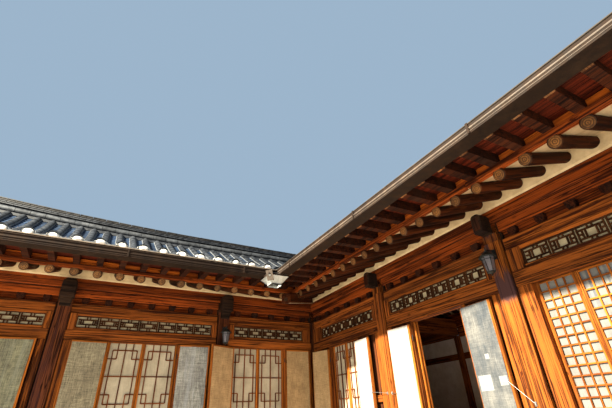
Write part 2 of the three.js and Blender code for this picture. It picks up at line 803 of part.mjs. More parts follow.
for (const [side, wing] of Object.entries(wings)) {
  const group = new THREE.Group();
  if (side === "right") {
    group.matrixAutoUpdate = false;
    group.matrix.set(0, 1, 0, 0, 1, 0, 0, 0, 0, 0, 1, 0, 0, 0, 0, 1);
  }
  house.add(group);

  columnCentres(wing).slice(1).forEach((x, i) => {
    const shaft = mesh(`column_${side}_${i + 1}`, columnShaft(true), "darkPine");
    shaft.position.set(x, half, baseStoneTop);
    group.add(shaft);
  });

  const isLeft = side === "left";
  group.add(
    mesh(`tie_beam_${side}`, tieBeam(wing), "pine"),
    mesh(`roof_frame_${side}`, roofFrame(wing), "pine"),
    mesh(`rafters_${side}`, rafters(wing), "pine"),
    mesh(`flying_rafters_${side}`, flyingRafters(wing), "redPine"),
    mesh(`roof_tiles_${side}`, roofTiles(wing), "tile"),
    mesh(`bargeboard_${side}`, bargeboards(wing), "pine"),
    mesh(`wall_${side}_back`, backWall(wing, isLeft ? houseBack : depth), "plaster"),
    mesh(`wall_${side}_gable`, gableWall(wing), "plaster"),
  );

  const [back0, back1] = wing.backWindow;
  const [backSill, backHead] = backWindowHeight;
  const backLattice = lattice(back1 - back0, backHead - backSill, 4);
  const backWindow = mesh(`grid_window_${side}_back`, backLattice, "paper");
  backWindow.position.set(back0, depth + 70, backSill);
  group.add(backWindow);

  wing.openings.forEach((opening, i) => {
    const bay = i + 1;
    group.add(mesh(`bay_frame_${side}_${bay}`, bayFrame(wing, bay, opening), "pine"));
    const [open0, open1] = opening.at;
    const width = open1 - open0;
    const sill = sillOf(opening);
    if (opening.kind === "door") {
      group.add(mesh(`threshold_${side}_${bay}`, bayBase(wing, bay), "pine"));
    } else {
      const leaves = opening.kind === "grid" ? 4 : 2;
      const name = opening.kind === "grid" ? "grid_window" : "lattice";
      const screen = lattice(width, wing.lintelBottom - sill, leaves);
      const inner = mesh(`${name}_${side}_${bay}`, screen, "paper");
      inner.position.set(open0, 85, sill);
      group.add(inner);
    }
    if (opening.kind === "grid") return;
    const leafWidth = width / 2 - 2 * hingeGap;
    [open0, open1].forEach((x, end) => {
      const name = `${opening.kind === "door" ? "door" : "leaf"}_${side}_${bay}${end ? "b" : "a"}`;
      const shape = leaf(leafWidth, wing.leafTop - sill - leafLift);
      const hung = mesh(name, end ? shape : otherEnd(shape), "paper");
      const stand = THREE.MathUtils.degToRad(opening.stand[end]);
      hung.position.set(x, frontFace - hingeGap, sill + leafLift);
      hung.rotation.z = end ? -stand : stand;
      group.add(hung);
    });
  });
}

const leftLantern = mesh("lantern_left", lantern(), "iron");
const rightLantern = mesh("lantern_right", lantern(), "iron");
const lanternColumn = (wing) => columnCentres(wing)[wing.lantern.column];
leftLantern.position.set(lanternColumn(wings.left), 0, wings.left.lantern.height);
rightLantern.position.set(0, lanternColumn(wings.right), wings.right.lantern.height);
rightLantern.rotation.z = -Math.PI / 2;
house.add(leftLantern, rightLantern);

export default house;
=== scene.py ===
import json
import math
import random
from itertools import product

import bmesh
import bpy
from mathutils import Matrix, Vector

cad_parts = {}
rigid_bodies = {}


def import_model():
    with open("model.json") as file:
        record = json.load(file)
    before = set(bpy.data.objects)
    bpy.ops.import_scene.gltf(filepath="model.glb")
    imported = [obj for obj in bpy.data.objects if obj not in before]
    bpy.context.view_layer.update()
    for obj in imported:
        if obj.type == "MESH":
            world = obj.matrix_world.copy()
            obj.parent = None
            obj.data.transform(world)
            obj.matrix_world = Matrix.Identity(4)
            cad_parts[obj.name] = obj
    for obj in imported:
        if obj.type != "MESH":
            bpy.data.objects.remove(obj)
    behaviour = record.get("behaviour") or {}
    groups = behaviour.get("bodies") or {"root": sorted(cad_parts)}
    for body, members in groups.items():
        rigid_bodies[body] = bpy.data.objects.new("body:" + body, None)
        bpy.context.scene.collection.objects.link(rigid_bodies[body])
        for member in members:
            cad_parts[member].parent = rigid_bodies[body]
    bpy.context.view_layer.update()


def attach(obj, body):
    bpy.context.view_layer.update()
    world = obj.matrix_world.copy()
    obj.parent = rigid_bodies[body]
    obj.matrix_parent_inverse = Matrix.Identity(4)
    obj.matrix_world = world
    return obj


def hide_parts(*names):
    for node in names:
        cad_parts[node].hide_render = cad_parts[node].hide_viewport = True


for spare in list(bpy.data.objects):  # the cube, lamp and camera that a new file opens with
    bpy.data.objects.remove(spare)
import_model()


# The lines of the house that more than one piece follows

wings = {
    "left": {
        "centres": (0.105, -2.025, -4.815, -7.605),
        "lintel": 2.75,
        "leafTop": 2.738,
        "cornerPost": 0.215,
        "rafterPitch": 0.325,
        "rafterStart": -4.757,
        "head": (0.225, 3.40, 0.088),
        "frontTiles": {"edge": -1.60, "top": 3.925, "slope": 0.25},
        "openings": (
            ("window", -1.800, -0.675, (25, 4)),
            ("window", -4.020, -2.860, (5, 5)),
            ("window", -6.790, -5.630, (5, 5)),
        ),
        "backWindow": (-4.320, -2.520),
    },
    "right": {
        "centres": (0.105, -2.365, -4.765, -7.165),
        "lintel": 2.72,
        "leafTop": 2.672,
        "cornerPost": 0.330,
        "rafterPitch": 0.295,
        "rafterStart": -5.966,
        "head": (0.14, 3.46, 0.05),
        "frontTiles": {"edge": -1.50, "top": 3.930, "slope": 0.25},
        "openings": (
            ("window", -1.580, -0.670, (4, 18)),
            ("door", -4.045, -3.050, (3, 3)),
            ("grid", -6.855, -5.075, None),
        ),
        "backWindow": (-4.465, -2.665),
    },
}
levels = {
    "platform": 0.45,
    "baseStone": 0.55,
    "sillBottom": 0.75,
    "floor": 0.90,
    "windowSill": 1.20,
    "lintelTop": 2.91,
    "transom": (2.95, 3.15),
    "tie": 3.19,
    "beam": 3.35,
    "plate": 3.46,
    "purlin": 3.60,
    "backWindow": (1.5, 2.5),
}
column = 0.21
half = column / 2
houseBack = 5.01
ridgeLine = houseBack / 2
tilesMeet = ridgeLine - 0.15
roof = {
    "slope": 0.354,
    "upperSlope": 0.625,
    "axisAtFront": 3.9154,
    "knee": 1.4,
    "logRadius": 0.07,
    "deckLift": 0.06,
    "deck": 0.036,
    "logEnd": -0.94,
    "flyingEnd": -1.48,
    "flyingTop": 3.83,
    "flyingSlope": 0.037,
    "gableReach": 0.755,
    "boardDepth": 0.04,
    "ridgeSeat": 5.75,
    "ridgeTop": 6.085,
    "sweepStart": -2.0,
    "sweep": 0.0075,
}
backTiles = {"edge": -1.01, "top": 3.800, "slope": 0.36}
diagonal = math.sqrt(2)
logDrop = roof["logRadius"] * math.cos(math.pi / 6) * math.hypot(1, roof["slope"])


def spread(a, b, count):
    return [a + (b - a) * i / count for i in range(count + 1)]


# Places round a circle of radius 1, from one angle to another in half turns.
def arc(first, last, count):
    return [(math.cos(math.pi * a), math.sin(math.pi * a)) for a in spread(first, last, count)]


# The same place in the other wing's run.
def swapped(p):
    return (p[1], p[0], p[2])


def roofStart(wing):
    return wing["centres"][3] - roof["gableReach"] + roof["boardDepth"]


def clearBay(wing, bay):
    centres = wing["centres"]
    return centres[bay] + half, centres[bay - 1] - half


def rafterAxis(v):
    return roof["axisAtFront"] + roof["slope"] * v


def deckBottom(v):
    knee = roof["knee"]
    return rafterAxis(min(v, knee)) + roof["deckLift"] + roof["upperSlope"] * max(0, v - knee)


def deckTop(v):
    return deckBottom(v) + roof["deck"]


def flyingTop(v):
    return roof["flyingTop"] + roof["flyingSlope"] * (v - roof["flyingEnd"])


# How far the ridge sweeps up towards the gable at u.
def lift(u):
    return roof["sweep"] * max(0.0, roof["sweepStart"] - u) ** 2


# The sagging line of the tiles' crowns at u, a distance t from the front of the house.
def tileTop(line, t, u=0.0):
    run = tilesMeet - line["edge"]
    s = t - line["edge"]
    sag = (roof["ridgeSeat"] + lift(u) - line["top"] - line["slope"] * run) / (run * run)
    return line["top"] + line["slope"] * s + sag * s * s


# Meshes: a shape gathers solids, each with the run of its grain and a shade of its own


def orderBlock():
    index = {}
    for corner in product((0, 1), repeat=3):
        for face in range(3):
            index[corner, face] = len(index)
    faces = []
    for face in range(3):
        a, b = [i for i in range(3) if i != face]
        for side in (0, 1):
            ring = []
            for s, t in ((0, 0), (1, 0), (1, 1), (0, 1)):
                corner = [0, 0, 0]
                corner[face], corner[a], corner[b] = side, s, t
                ring.append(index[tuple(corner), face])
            faces.append(ring if (side == 1) != (face == 1) else ring[::-1])
        for s, t in product((0, 1), repeat=2):
            ends = []
            for along in (0, 1):
                corner = [0, 0, 0]
                corner[face], corner[a], corner[b] = along, s, t
                ends.append(tuple(corner))
            ring = [index[ends[0], a], index[ends[1], a], index[ends[1], b], index[ends[0], b]]
            turned = (s == t) != (face == 1)
            faces.append(ring[::-1] if turned else ring)
    for corner in product((0, 1), repeat=3):
        ring = [index[corner, face] for face in range(3)]
        faces.append(ring if sum(corner) % 2 else ring[::-1])
    return faces


blockFaces = orderBlock()
barFaces = [[0, 1, 3, 2], [4, 6, 7, 5], [0, 4, 5, 1], [2, 3, 7, 6], [0, 2, 6, 4], [1, 5, 7, 3]]


class Shape:
    def __init__(self, seed):
        self.points = []
        self.faces = []
        self.looks = []
        self.grain = []
        self.shade = []
        self.chance = random.Random(seed)

    def add(self, points, faces, grain, look=0, pith=0.12):
        chance = self.chance
        start = len(self.points)
        shift = (chance.uniform(0, 40), chance.uniform(-pith, pith), chance.uniform(-pith, pith))
        shade = chance.random()
        self.points += [tuple(p) for p in points]
        self.faces += [[start + i for i in face] for face in faces]
        self.looks += [look] * len(faces) if isinstance(look, int) else look
        self.grain += [tuple(g + s for g, s in zip(p, shift)) for p in grain]
        self.shade += [shade] * len(points)

    # A block with worn edges. Its grain runs along the axis that along names.
    def block(self, x, y, z, along=0, edge=0.004, look=0, warp=None):
        low = [min(pair) for pair in (x, y, z)]
        high = [max(pair) for pair in (x, y, z)]
        edge = min([edge] + [0.3 * (high[i] - low[i]) for i in range(3)])
        points = []
        for corner in product((0, 1), repeat=3):
            for face in range(3 if edge else 1):
                points.append([
                    (high[i] if corner[i] else low[i]) + (0 if i == face else (-edge if corner[i] else edge))
                    for i in range(3)
                ])
        order = [along] + [i for i in range(3) if i != along]
        middle = [(low[i] + high[i]) / 2 for i in range(3)]
        grain = [[p[i] - (middle[i] if i != along else 0) for i in order] for p in points]
        if warp:
            points = [warp(p) for p in points]
        self.add(points, blockFaces if edge else barFaces, grain, look)

    # A prism along one axis from an outline in the two others, taken in their order.
    def prism(self, outline, span, along=0, look=0, warp=None):
        area = sum(a[0] * b[1] - b[0] * a[1] for a, b in zip(outline, outline[1:] + outline[:1]))
        if (area < 0) != (along == 1):
            outline = outline[::-1]
        points = []
        for s in span:
            for a, b in outline:
                points.append([s, a, b] if along == 0 else [a, s, b] if along == 1 else [a, b, s])
        n = len(outline)
        faces = [[i, (i + 1) % n, n + (i + 1) % n, n + i] for i in range(n)]
        faces += [list(range(n))[::-1], list(range(n, 2 * n))]
        order = [along] + [i for i in range(3) if i != along]
        grain = [[p[i] for i in order] for p in points]
        if warp:
            points = [warp(p) for p in points]
        self.add(points, faces, grain, look)

    # Rings of points, joined one to the next and closed at both ends.
    def skin(self, rings, look=0, endLook=None, grain=None, pith=0.12):
        n = len(rings[0])
        points = [p for ring in rings for p in ring]
        faces = []
        for k in range(len(rings) - 1):
            a, b = k * n, (k + 1) * n
            faces += [[a + i, a + (i + 1) % n, b + (i + 1) % n, b + i] for i in range(n)]
        last = (len(rings) - 1) * n
        faces += [list(range(n))[::-1], [last + i for i in range(n)]]
        ends = look if endLook is None else endLook
        looks = [look] * (len(faces) - 2) + [ends, ends]
        self.add(points, faces, grain or points, looks, pith)

    # Rings joined in a loop, with the last one joined to the first.
    def loop(self, rings, look=0):
        n = len(rings[0])
        points = [p for ring in rings for p in ring]
        faces = []
        for k in range(len(rings)):
            a, b = k * n, (k + 1) % len(rings) * n
            faces += [[a + i, a + (i + 1) % n, b + (i + 1) % n, b + i] for i in range(n)]
        self.add(points, faces, points, look)

    # A round stick from start to end, given as [distance, radius] steps.
    def stick(self, start, end, steps, sides=12, look=0, endLook=None):
        start, end = Vector(start), Vector(end)
        run = (end - start).normalized()
        across = run.orthogonal().normalized()
        other = run.cross(across)
        turns = [2 * math.pi * k / sides for k in range(sides)]
        rings, grain = [], []
        for distance, radius in steps:
            centre = start + run * distance
            for a in turns:
                grain.append((distance, radius * math.cos(a), radius * math.sin(a)))
            rings.append([centre + radius * (math.cos(a) * across + math.sin(a) * other) for a in turns])
        self.skin(rings, look, endLook, grain, 0.008)


def makePiece(shape, name, looks, side="left", body="house", replaces=(), smooth=32):
    points = [(y, x, z) for x, y, z in shape.points] if side == "right" else shape.points
    mesh = bpy.data.meshes.new(name)
    mesh.from_pydata(points, [], shape.faces)
    turned = bmesh.new()
    turned.from_mesh(mesh)
    bmesh.ops.recalc_face_normals(turned, faces=turned.faces)
    turned.to_mesh(mesh)
    turned.free()
    for look in looks:
        mesh.materials.append(look)
    mesh.polygons.foreach_set("material_index", shape.looks)
    grain = mesh.attributes.new("grain", "FLOAT_VECTOR", "POINT")
    grain.data.foreach_set("vector", [c for g in shape.grain for c in g])
    shade = mesh.attributes.new("shade", "FLOAT", "POINT")
    shade.data.foreach_set("value", shape.shade)
    mesh.shade_smooth()
    mesh.set_sharp_from_angle(angle=math.radians(smooth))
    made = bpy.data.objects.new(name, mesh)
    bpy.context.scene.collection.objects.link(made)
    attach(made, body)
    if replaces:
        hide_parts(*replaces)
    return made


# Nodes: a Paint adds nodes to the tree of one material or one group


class Paint:
    def __init__(self, tree):
        self.tree = tree

    def feed(self, target, value):
        if isinstance(value, bpy.types.NodeSocket):
            self.tree.links.new(value, target)
        elif target.type == "RGBA" and isinstance(value, tuple) and len(value) == 3:
            target.default_value = (*value, 1)
        else:
            target.default_value = value

    def node(self, kind, inputs, **settings):
        made = self.tree.nodes.new("ShaderNode" + kind)
        for key, value in settings.items():
            setattr(made, key, value)
        for key, value in inputs.items():
            self.feed(made.inputs[key], value)
        return made.outputs

    def times(self, a, b):
        return self.node("Math", {0: a, 1: b}, operation="MULTIPLY")[0]

    def plus(self, a, b):
        return self.node("Math", {0: a, 1: b}, operation="ADD")[0]

    def minus(self, a, b):
        return self.node("Math", {0: a, 1: b}, operation="SUBTRACT")[0]

    # A sum of values, each with its weight.
    def weigh(self, *parts):
        total = None
        for value, weight in parts:
            part = value if weight == 1 else self.times(value, weight)
            total = part if total is None else self.plus(total, part)
        return total

    def stretch(self, vector, scale, move=(0, 0, 0)):
        return self.node("Mapping", {"Vector": vector, "Scale": scale, "Location": move})[0]

    def noise(self, vector, scale, detail, roughness=0.55, distortion=0.0):
        look = {"Detail": detail, "Roughness": roughness, "Distortion": distortion}
        return self.node("TexNoise", {"Vector": vector, "Scale": scale, **look})["Fac"]

    def between(self, value, low, high, toLow=0.0, toHigh=1.0):
        given = dict(enumerate((value, low, high, toLow, toHigh)))
        return self.node("MapRange", given, interpolation_type="SMOOTHSTEP")[0]

    # The Mix node's colours are its inputs 6 and 7 and its output 2.
    def mix(self, factor, a, b, kind="MIX"):
        return self.node("Mix", {0: factor, 6: a, 7: b}, data_type="RGBA", blend_type=kind)[2]

    # One part of a vector or a colour.
    def part(self, kind, value, output):
        return self.node(kind, {0: value})[output]

    def attribute(self, name, output):
        return self.node("Attribute", {}, attribute_type="GEOMETRY", attribute_name=name)[output]

    def place(self):
        return self.node("TexCoord", {})["Object"]

    # Each solid's own shade makes it a little darker or lighter than its neighbours.
    def tint(self, colour, low, high):
        tone = self.between(self.attribute("shade", "Fac"), 0, 1, low, high)
        return self.mix(1.0, colour, tone, "MULTIPLY")

    # Thin lines where a noise passes its middle value.
    def lines(self, value, width):
        away = self.node("Math", {0: self.minus(value, 0.5)}, operation="ABSOLUTE")[0]
        return self.minus(1.0, self.between(away, 0.0, width))

    def group(self, tree, inputs):
        made = self.tree.nodes.new("ShaderNodeGroup")
        made.node_tree = tree
        for label, value in inputs.items():
            self.feed(made.inputs[label], value)
        return made.outputs


def makeGroup(name, inputs, outputs, build):
    tree = bpy.data.node_groups.new(name, "ShaderNodeTree")
    for label, kind, value in inputs:
        made = tree.interface.new_socket(name=label, in_out="INPUT", socket_type="NodeSocket" + kind)
        if value is not None:
            made.default_value = value
    for label in outputs:
        tree.interface.new_socket(name=label, in_out="OUTPUT", socket_type="NodeSocketFloat")
    entry = tree.nodes.new("NodeGroupInput")
    leave = tree.nodes.new("NodeGroupOutput")
    paint = Paint(tree)
    for label, value in build(paint, entry.outputs).items():
        paint.feed(leave.inputs[label], value)
    return tree


# Shared effects


def buildTimber(paint, given):
    grain = given["Grain"]
    bands = paint.noise(paint.stretch(grain, (0.4, 15, 15), (3, 1, 7)), 1, 5, 0.66, 0.4)
    streaks = paint.noise(paint.stretch(grain, (0.9, 48, 48)), 1, 4, 0.65, 0.3)
    fibres = paint.noise(paint.stretch(grain, (9, 210, 210)), 1, 2, 0.6)
    ringInputs = {"Vector": paint.stretch(grain, (0.12, 1, 1)), "Scale": given["Rings"], "Distortion": 5.0,
                  "Detail": 3.0, "Detail Scale": 1.6}
    wave = {"wave_type": "RINGS", "rings_direction": "X", "wave_profile": "SAW"}
    rings = paint.node("TexWave", ringInputs, **wave)["Fac"]
    figure = paint.weigh((bands, 0.55), (streaks, 0.3), (rings, 0.1), (fibres, 0.1))
    splits = paint.noise(paint.stretch(grain, (0.42, 15, 15)), 1, 2, 0.5, 0.2)
    patchy = paint.noise(paint.stretch(grain, (0.9, 3, 3), (5, 2, 8)), 1, 2)
    cracks = paint.lines(splits, paint.between(patchy, 0.42, 0.68, 0.0008, given["Crack Width"]))
    cells = paint.node("TexVoronoi", {"Vector": paint.stretch(grain, (3.4, 6.5, 6.5)), "Scale": 1})
    knots = paint.minus(1.0, paint.between(cells["Distance"], 0.05, 0.2))
    knots = paint.times(knots, paint.between(cells["Color"], 0.56, 0.6))
    weather = paint.noise(paint.stretch(grain, (1.1, 3.2, 3.2), (3, 9, 1)), 1, 4, 0.6)
    return {"Figure": figure, "Streaks": streaks, "Cracks": cracks, "Knots": knots, "Weather": weather}


timber = makeGroup(
    "timber",
    [("Grain", "Vector", None), ("Rings", "Float", 14.0), ("Crack Width", "Float", 0.02)],
    ("Figure", "Streaks", "Cracks", "Knots", "Weather"),
    buildTimber,
)


def buildGrime(paint, given):
    place = given["Place"]
    mixed = paint.weigh((paint.noise(place, 1.4, 5, 0.62), 0.75), (paint.noise(place, 26, 3, 0.6), 0.25))
    low = paint.minus(0.72, given["Amount"])
    return {"Mask": paint.between(mixed, low, paint.plus(low, 0.22))}


grime = makeGroup("grime", [("Place", "Vector", None), ("Amount", "Float", 0.2)], ("Mask",), buildGrime)


# Materials: every one has a light and a dark colour, in linear values


class Material(Paint):
    def __init__(self, name, given):
        self.made = bpy.data.materials.new(name)
        self.made.use_nodes = True
        super().__init__(self.made.node_tree)
        self.shader = self.tree.nodes["Principled BSDF"]
        for label, value in given.items():
            self.shader.inputs[label].default_value = value

    def stain(self, place, amount, colour, strength, stained):
        mask = self.group(grime, {"Place": place, "Amount": amount})["Mask"]
        return self.mix(self.times(mask, strength), colour, stained)

    def finish(self, colour, roughness, height, depth):
        relief = {"Strength": 0.8, "Distance": depth, "Height": height}
        self.feed(self.shader.inputs["Base Color"], colour)
        self.feed(self.shader.inputs["Roughness"], roughness)
        self.feed(self.shader.inputs["Normal"], self.node("Bump", relief)[0])
        return self.made


def darker(colour, share):
    return tuple(share * c for c in colour)


# Weathering lies all over a timber, or only above one height, where its colour is painted shade over the
# sunlit wood below.
def makeWood(name, light, dark, weatherAndShade, rings, crackWidth, grey=0.15, above=None):
    wood = Material(name, {"Specular IOR Level": 0.08})
    given = {"Grain": wood.attribute("grain", "Vector"), "Rings": rings, "Crack Width": crackWidth}
    marks = wood.group(timber, given)
    figure, streaks, cracks = marks["Figure"], marks["Streaks"], marks["Cracks"]
    colour = wood.mix(wood.between(figure, 0.43, 0.58), dark, light)
    colour = wood.mix(wood.times(wood.between(streaks, 0.47, 0.38), 0.75), colour, darker(dark, 0.5))
    worn = wood.between(marks["Weather"], 0.44, 0.72, 0.0, grey * 3)
    # Above this height the weathering colour is painted shade.
    if above:
        height = wood.part("SeparateXYZ", wood.place(), "Z")
        worn = wood.times(worn, wood.between(height, above - 0.1, above + 0.1))
    colour = wood.tint(wood.mix(worn, colour, weatherAndShade), 0.72, 1.16)
    colour = wood.mix(wood.times(marks["Knots"], 0.8), colour, darker(light, 0.15))
    colour = wood.mix(wood.times(cracks, 0.9), colour, darker(light, 0.06))
    relief = wood.weigh((figure, 0.6), (cracks, -1.6))
    return wood.finish(colour, wood.between(streaks, 0.2, 0.8, 0.68, 0.9), relief, 0.003)


def makeLogEnd(name, light, dark):
    wood = Material(name, {"Specular IOR Level": 0.3})
    grain = wood.attribute("grain", "Vector")
    ringInputs = {"Vector": grain, "Scale": 15, "Distortion": 1.6, "Detail Scale": 6}
    rings = wood.node("TexWave", ringInputs, wave_type="RINGS", rings_direction="X")["Fac"]
    mottle = wood.node("TexNoise", {"Vector": grain, "Scale": 22})["Fac"]
    split = wood.lines(wood.noise(wood.stretch(grain, (0, 30, 9)), 1, 2, 0.5, 0.6), 0.02)
    colour = wood.mix(wood.between(rings, 0.1, 0.9, 0.15, 0.85), dark, light)
    colour = wood.mix(wood.between(mottle, 0.42, 0.72, 0, 0.6), colour, dark)
    colour = wood.tint(colour, 0.7, 1.2)
    colour = wood.mix(wood.times(split, 0.8), colour, darker(light, 0.1))
    reach = wood.node("VectorMath", {0: wood.stretch(grain, (0, 1, 1))}, operation="LENGTH")["Value"]
    colour = wood.mix(wood.between(reach, 0.042, 0.064, 0, 0.85), colour, darker(dark, 0.4))
    return wood.finish(colour, 0.8, wood.minus(rings, split), 0.0015)


def makePlaster(name, light, dark, scale=1.0):
    lime = Material(name, {"Specular IOR Level": 0.25})
    place = lime.stretch(lime.place(), (scale, scale, scale))
    mottle = lime.noise(place, 5, 6, 0.65)
    grit = lime.noise(place, 140, 2, 0.6)
    colour = lime.mix(lime.between(mottle, 0.3, 0.7), dark, light)
    colour = lime.stain(place, 0.2, colour, 0.35, darker(dark, 0.5))
    relief = lime.weigh((mottle, 0.8), (grit, 0.25))
    return lime.finish(colour, lime.between(grit, 0, 1, 0.8, 0.97), relief, 0.004)


# The grain's first axis runs up the sheet and the second across it.
def makePaper(name, light, dark, stainAndDappleColour, weave, streak=0.3):
    paper = Material(name, {"Sheen Weight": 0.15, "Specular IOR Level": 0.25})
    grain = paper.attribute("grain", "Vector")
    upright = paper.noise(paper.stretch(grain, (7, 170, 60)), 1, 4, 0.7, 0.5)
    across = paper.noise(paper.stretch(grain, (170, 8, 60), (4, 7, 0)), 1, 4, 0.7, 0.5)
    cloud = paper.noise(paper.stretch(grain, (3, 5, 5)), 1, 4, 0.6)
    threads = paper.weigh((upright, 0.55), (across, 0.45))
    colour = paper.mix(paper.between(cloud, 0.3, 0.7), dark, light)
    colour = paper.mix(paper.between(threads, 0.42, 0.6, 0, weave), colour, darker(dark, 0.34))
    pale = tuple(min(1.0, 1.45 * c) for c in light)
    colour = paper.mix(paper.between(threads, 0.46, 0.32, 0, weave * 0.6), colour, pale)
    runs = paper.noise(paper.stretch(grain, (0.9, 13, 5), (2, 3, 3)), 1, 4, 0.6, 0.4)
    share = paper.between(paper.attribute("shade", "Fac"), 0.35, 0.9, 0.05, streak)
    # On most papers these runs are stains; on the grid window's sun paper and the shaded leaf they are
    # painted dappled light and shade.
    colour = paper.mix(paper.times(paper.between(runs, 0.5, 0.68), share), colour, stainAndDappleColour)
    return paper.finish(colour, paper.between(threads, 0.3, 0.7, 0.75, 0.95), threads, 0.0012)


# Dust lies on the faces that look up; on the hollow tiles this up-facing tint is blue, a painted reflection
# of the sky.
def makeTileClay(name, light, dark, dustAndSkyColour):
    clay = Material(name, {"Specular IOR Level": 0.3})
    place = clay.place()
    mottle = clay.noise(place, 9, 5, 0.65)
    grit = clay.noise(place, 190, 2, 0.6)
    colour = clay.tint(clay.mix(clay.between(mottle, 0.3, 0.7), dark, light), 0.75, 1.2)
    up = clay.part("SeparateXYZ", clay.node("NewGeometry", {})["Normal"], "Z")
    mask = clay.group(grime, {"Place": place, "Amount": 0.26})["Mask"]
    dust = clay.times(clay.between(up, 0.4, 0.95), mask)
    colour = clay.mix(clay.times(dust, 0.6), colour, dustAndSkyColour)
    rough = clay.between(mottle, 0.3, 0.7, 0.42, 0.66)
    return clay.finish(colour, rough, clay.weigh((mottle, 1), (grit, 0.3)), 0.003)


def makeStone(name, light, dark, speck):
    stone = Material(name, {"Specular IOR Level": 0.35})
    place = stone.place()
    crystals = stone.node("TexVoronoi", {"Vector": place, "Scale": 160})["Color"]
    grey = stone.part("SeparateColor", crystals, 0)
    cloud = stone.noise(place, 3, 5, 0.6)
    colour = stone.mix(stone.between(cloud, 0.3, 0.7), dark, light)
    colour = stone.mix(stone.between(grey, 0.72, 0.84, 0, 0.75), colour, speck)
    colour = stone.stain(place, 0.22, stone.tint(colour, 0.82, 1.12), 0.3, darker(dark, 0.35))
    return stone.finish(colour, 0.82, stone.plus(stone.noise(place, 60, 4, 0.65), cloud), 0.006)


def makeMetal(name, light, dark, metallic, roughness, dirt, specular=0.5):
    metal = Material(name, {"Metallic": metallic, "Specular IOR Level": specular})
    place = metal.place()
    runs = metal.noise(metal.stretch(place, (14, 14, 1.5)), 1, 4, 0.6)
    colour = metal.mix(metal.between(runs, 0.3, 0.7), dark, light)
    colour = metal.stain(place, dirt, colour, 0.5, darker(dark, 0.4))
    rough = metal.between(runs, 0.2, 0.8, roughness - 0.08, roughness + 0.15)
    return metal.finish(colour, rough, runs, 0.0008)


def makeGlass(name, light, dark):
    pane = Material(name, {"Transmission Weight": 0.8, "IOR": 1.45})
    ripple = pane.noise(pane.place(), 34, 2, 0.5)
    colour = pane.mix(ripple, dark, light)
    return pane.finish(colour, pane.between(ripple, 0.2, 0.8, 0.25, 0.45), ripple, 0.001)


pine = makeWood("pine", (0.32, 0.085, 0.013), (0.043, 0.009, 0.0025), (0.07, 0.024, 0.011), 13, 0.07)
oldPine = makeWood("oldPine", (0.13, 0.036, 0.011), (0.012, 0.004, 0.0026),
                   (0.045, 0.016, 0.015), 12, 0.1, 0.25)
redPine = makeWood("redPine", (0.26, 0.05, 0.007), (0.035, 0.006, 0.0014), (0.045, 0.012, 0.0045), 14, 0.08)
# The column beside the right lantern: purple-brown painted shade above 2.62 m, sunlit pine below.
pineWithPaintedShadeAbove = makeWood("pineWithPaintedShadeAbove", (0.29, 0.082, 0.012), (0.05, 0.011, 0.003),
                    (0.06, 0.027, 0.026), 12, 0.1, 0.9, 2.62)
# Dark pine for the beam heads and the valley log's face, and painted shade in the narrow gaps between
# timbers.
darkPineAndShade = makeWood("darkPineAndShade", (0.04, 0.02, 0.011), (0.008, 0.004, 0.003),
                    (0.02, 0.011, 0.009), 10, 0.08, 0.3)
logPine = makeWood("logPine", (0.062, 0.0145, 0.0033), (0.0095, 0.0025, 0.0011),
                   (0.03, 0.0115, 0.005), 10, 0.05, 0.3)
boardPine = makeWood("boardPine", (0.55, 0.125, 0.014), (0.2, 0.034, 0.005), (0.2, 0.045, 0.012), 12, 0.03)
eaveBoard = makeWood("eaveBoard", (0.11, 0.015, 0.005), (0.03, 0.0045, 0.002), (0.06, 0.014, 0.007), 12, 0.03)
flyingPine = makeWood("flyingPine", (0.05, 0.012, 0.004), (0.008, 0.0026, 0.0018),
                      (0.025, 0.011, 0.007), 12, 0.06, 0.3)
tipPine = makeWood("tipPine", (0.24, 0.1, 0.037), (0.09, 0.03, 0.01), (0.12, 0.065, 0.035), 12, 0.04, 0.3)
sashPine = makeWood("sashPine", (0.42, 0.125, 0.016), (0.13, 0.03, 0.005), (0.2, 0.06, 0.015), 20, 0.02)
redBar = makeWood("redBar", (0.2, 0.055, 0.014), (0.085, 0.02, 0.006), (0.1, 0.032, 0.013), 20, 0.01)
darkBar = makeWood("darkBar", (0.08, 0.03, 0.011), (0.026, 0.009, 0.0045), (0.05, 0.022, 0.011), 20, 0.02)
# The log ends of both wings are one wood; their two colours paint the different light on each wing.
leftWingLogEnd = makeLogEnd("leftWingLogEnd", (0.34, 0.15, 0.043), (0.03, 0.011, 0.005))
logEnd = makeLogEnd("logEnd", (0.26, 0.1, 0.018), (0.045, 0.016, 0.005))
eavePlaster = makePlaster("eavePlaster", (0.6, 0.46, 0.28), (0.42, 0.3, 0.17))
limePlaster = makePlaster("limePlaster", (0.76, 0.7, 0.58), (0.62, 0.55, 0.43))
mortar = makePlaster("mortar", (0.5, 0.47, 0.42), (0.36, 0.33, 0.29))
limeWhite = makePlaster("limeWhite", (0.92, 0.91, 0.87), (0.74, 0.72, 0.67), 3)
bedClay = makePlaster("bedClay", (0.2, 0.15, 0.11), (0.12, 0.09, 0.07))
floorPaper = makePlaster("floorPaper", (0.5, 0.33, 0.12), (0.38, 0.24, 0.08), 0.6)
windowPaper = makePaper("windowPaper", (0.54, 0.46, 0.33), (0.39, 0.33, 0.23), (0.32, 0.28, 0.22), 0.2)
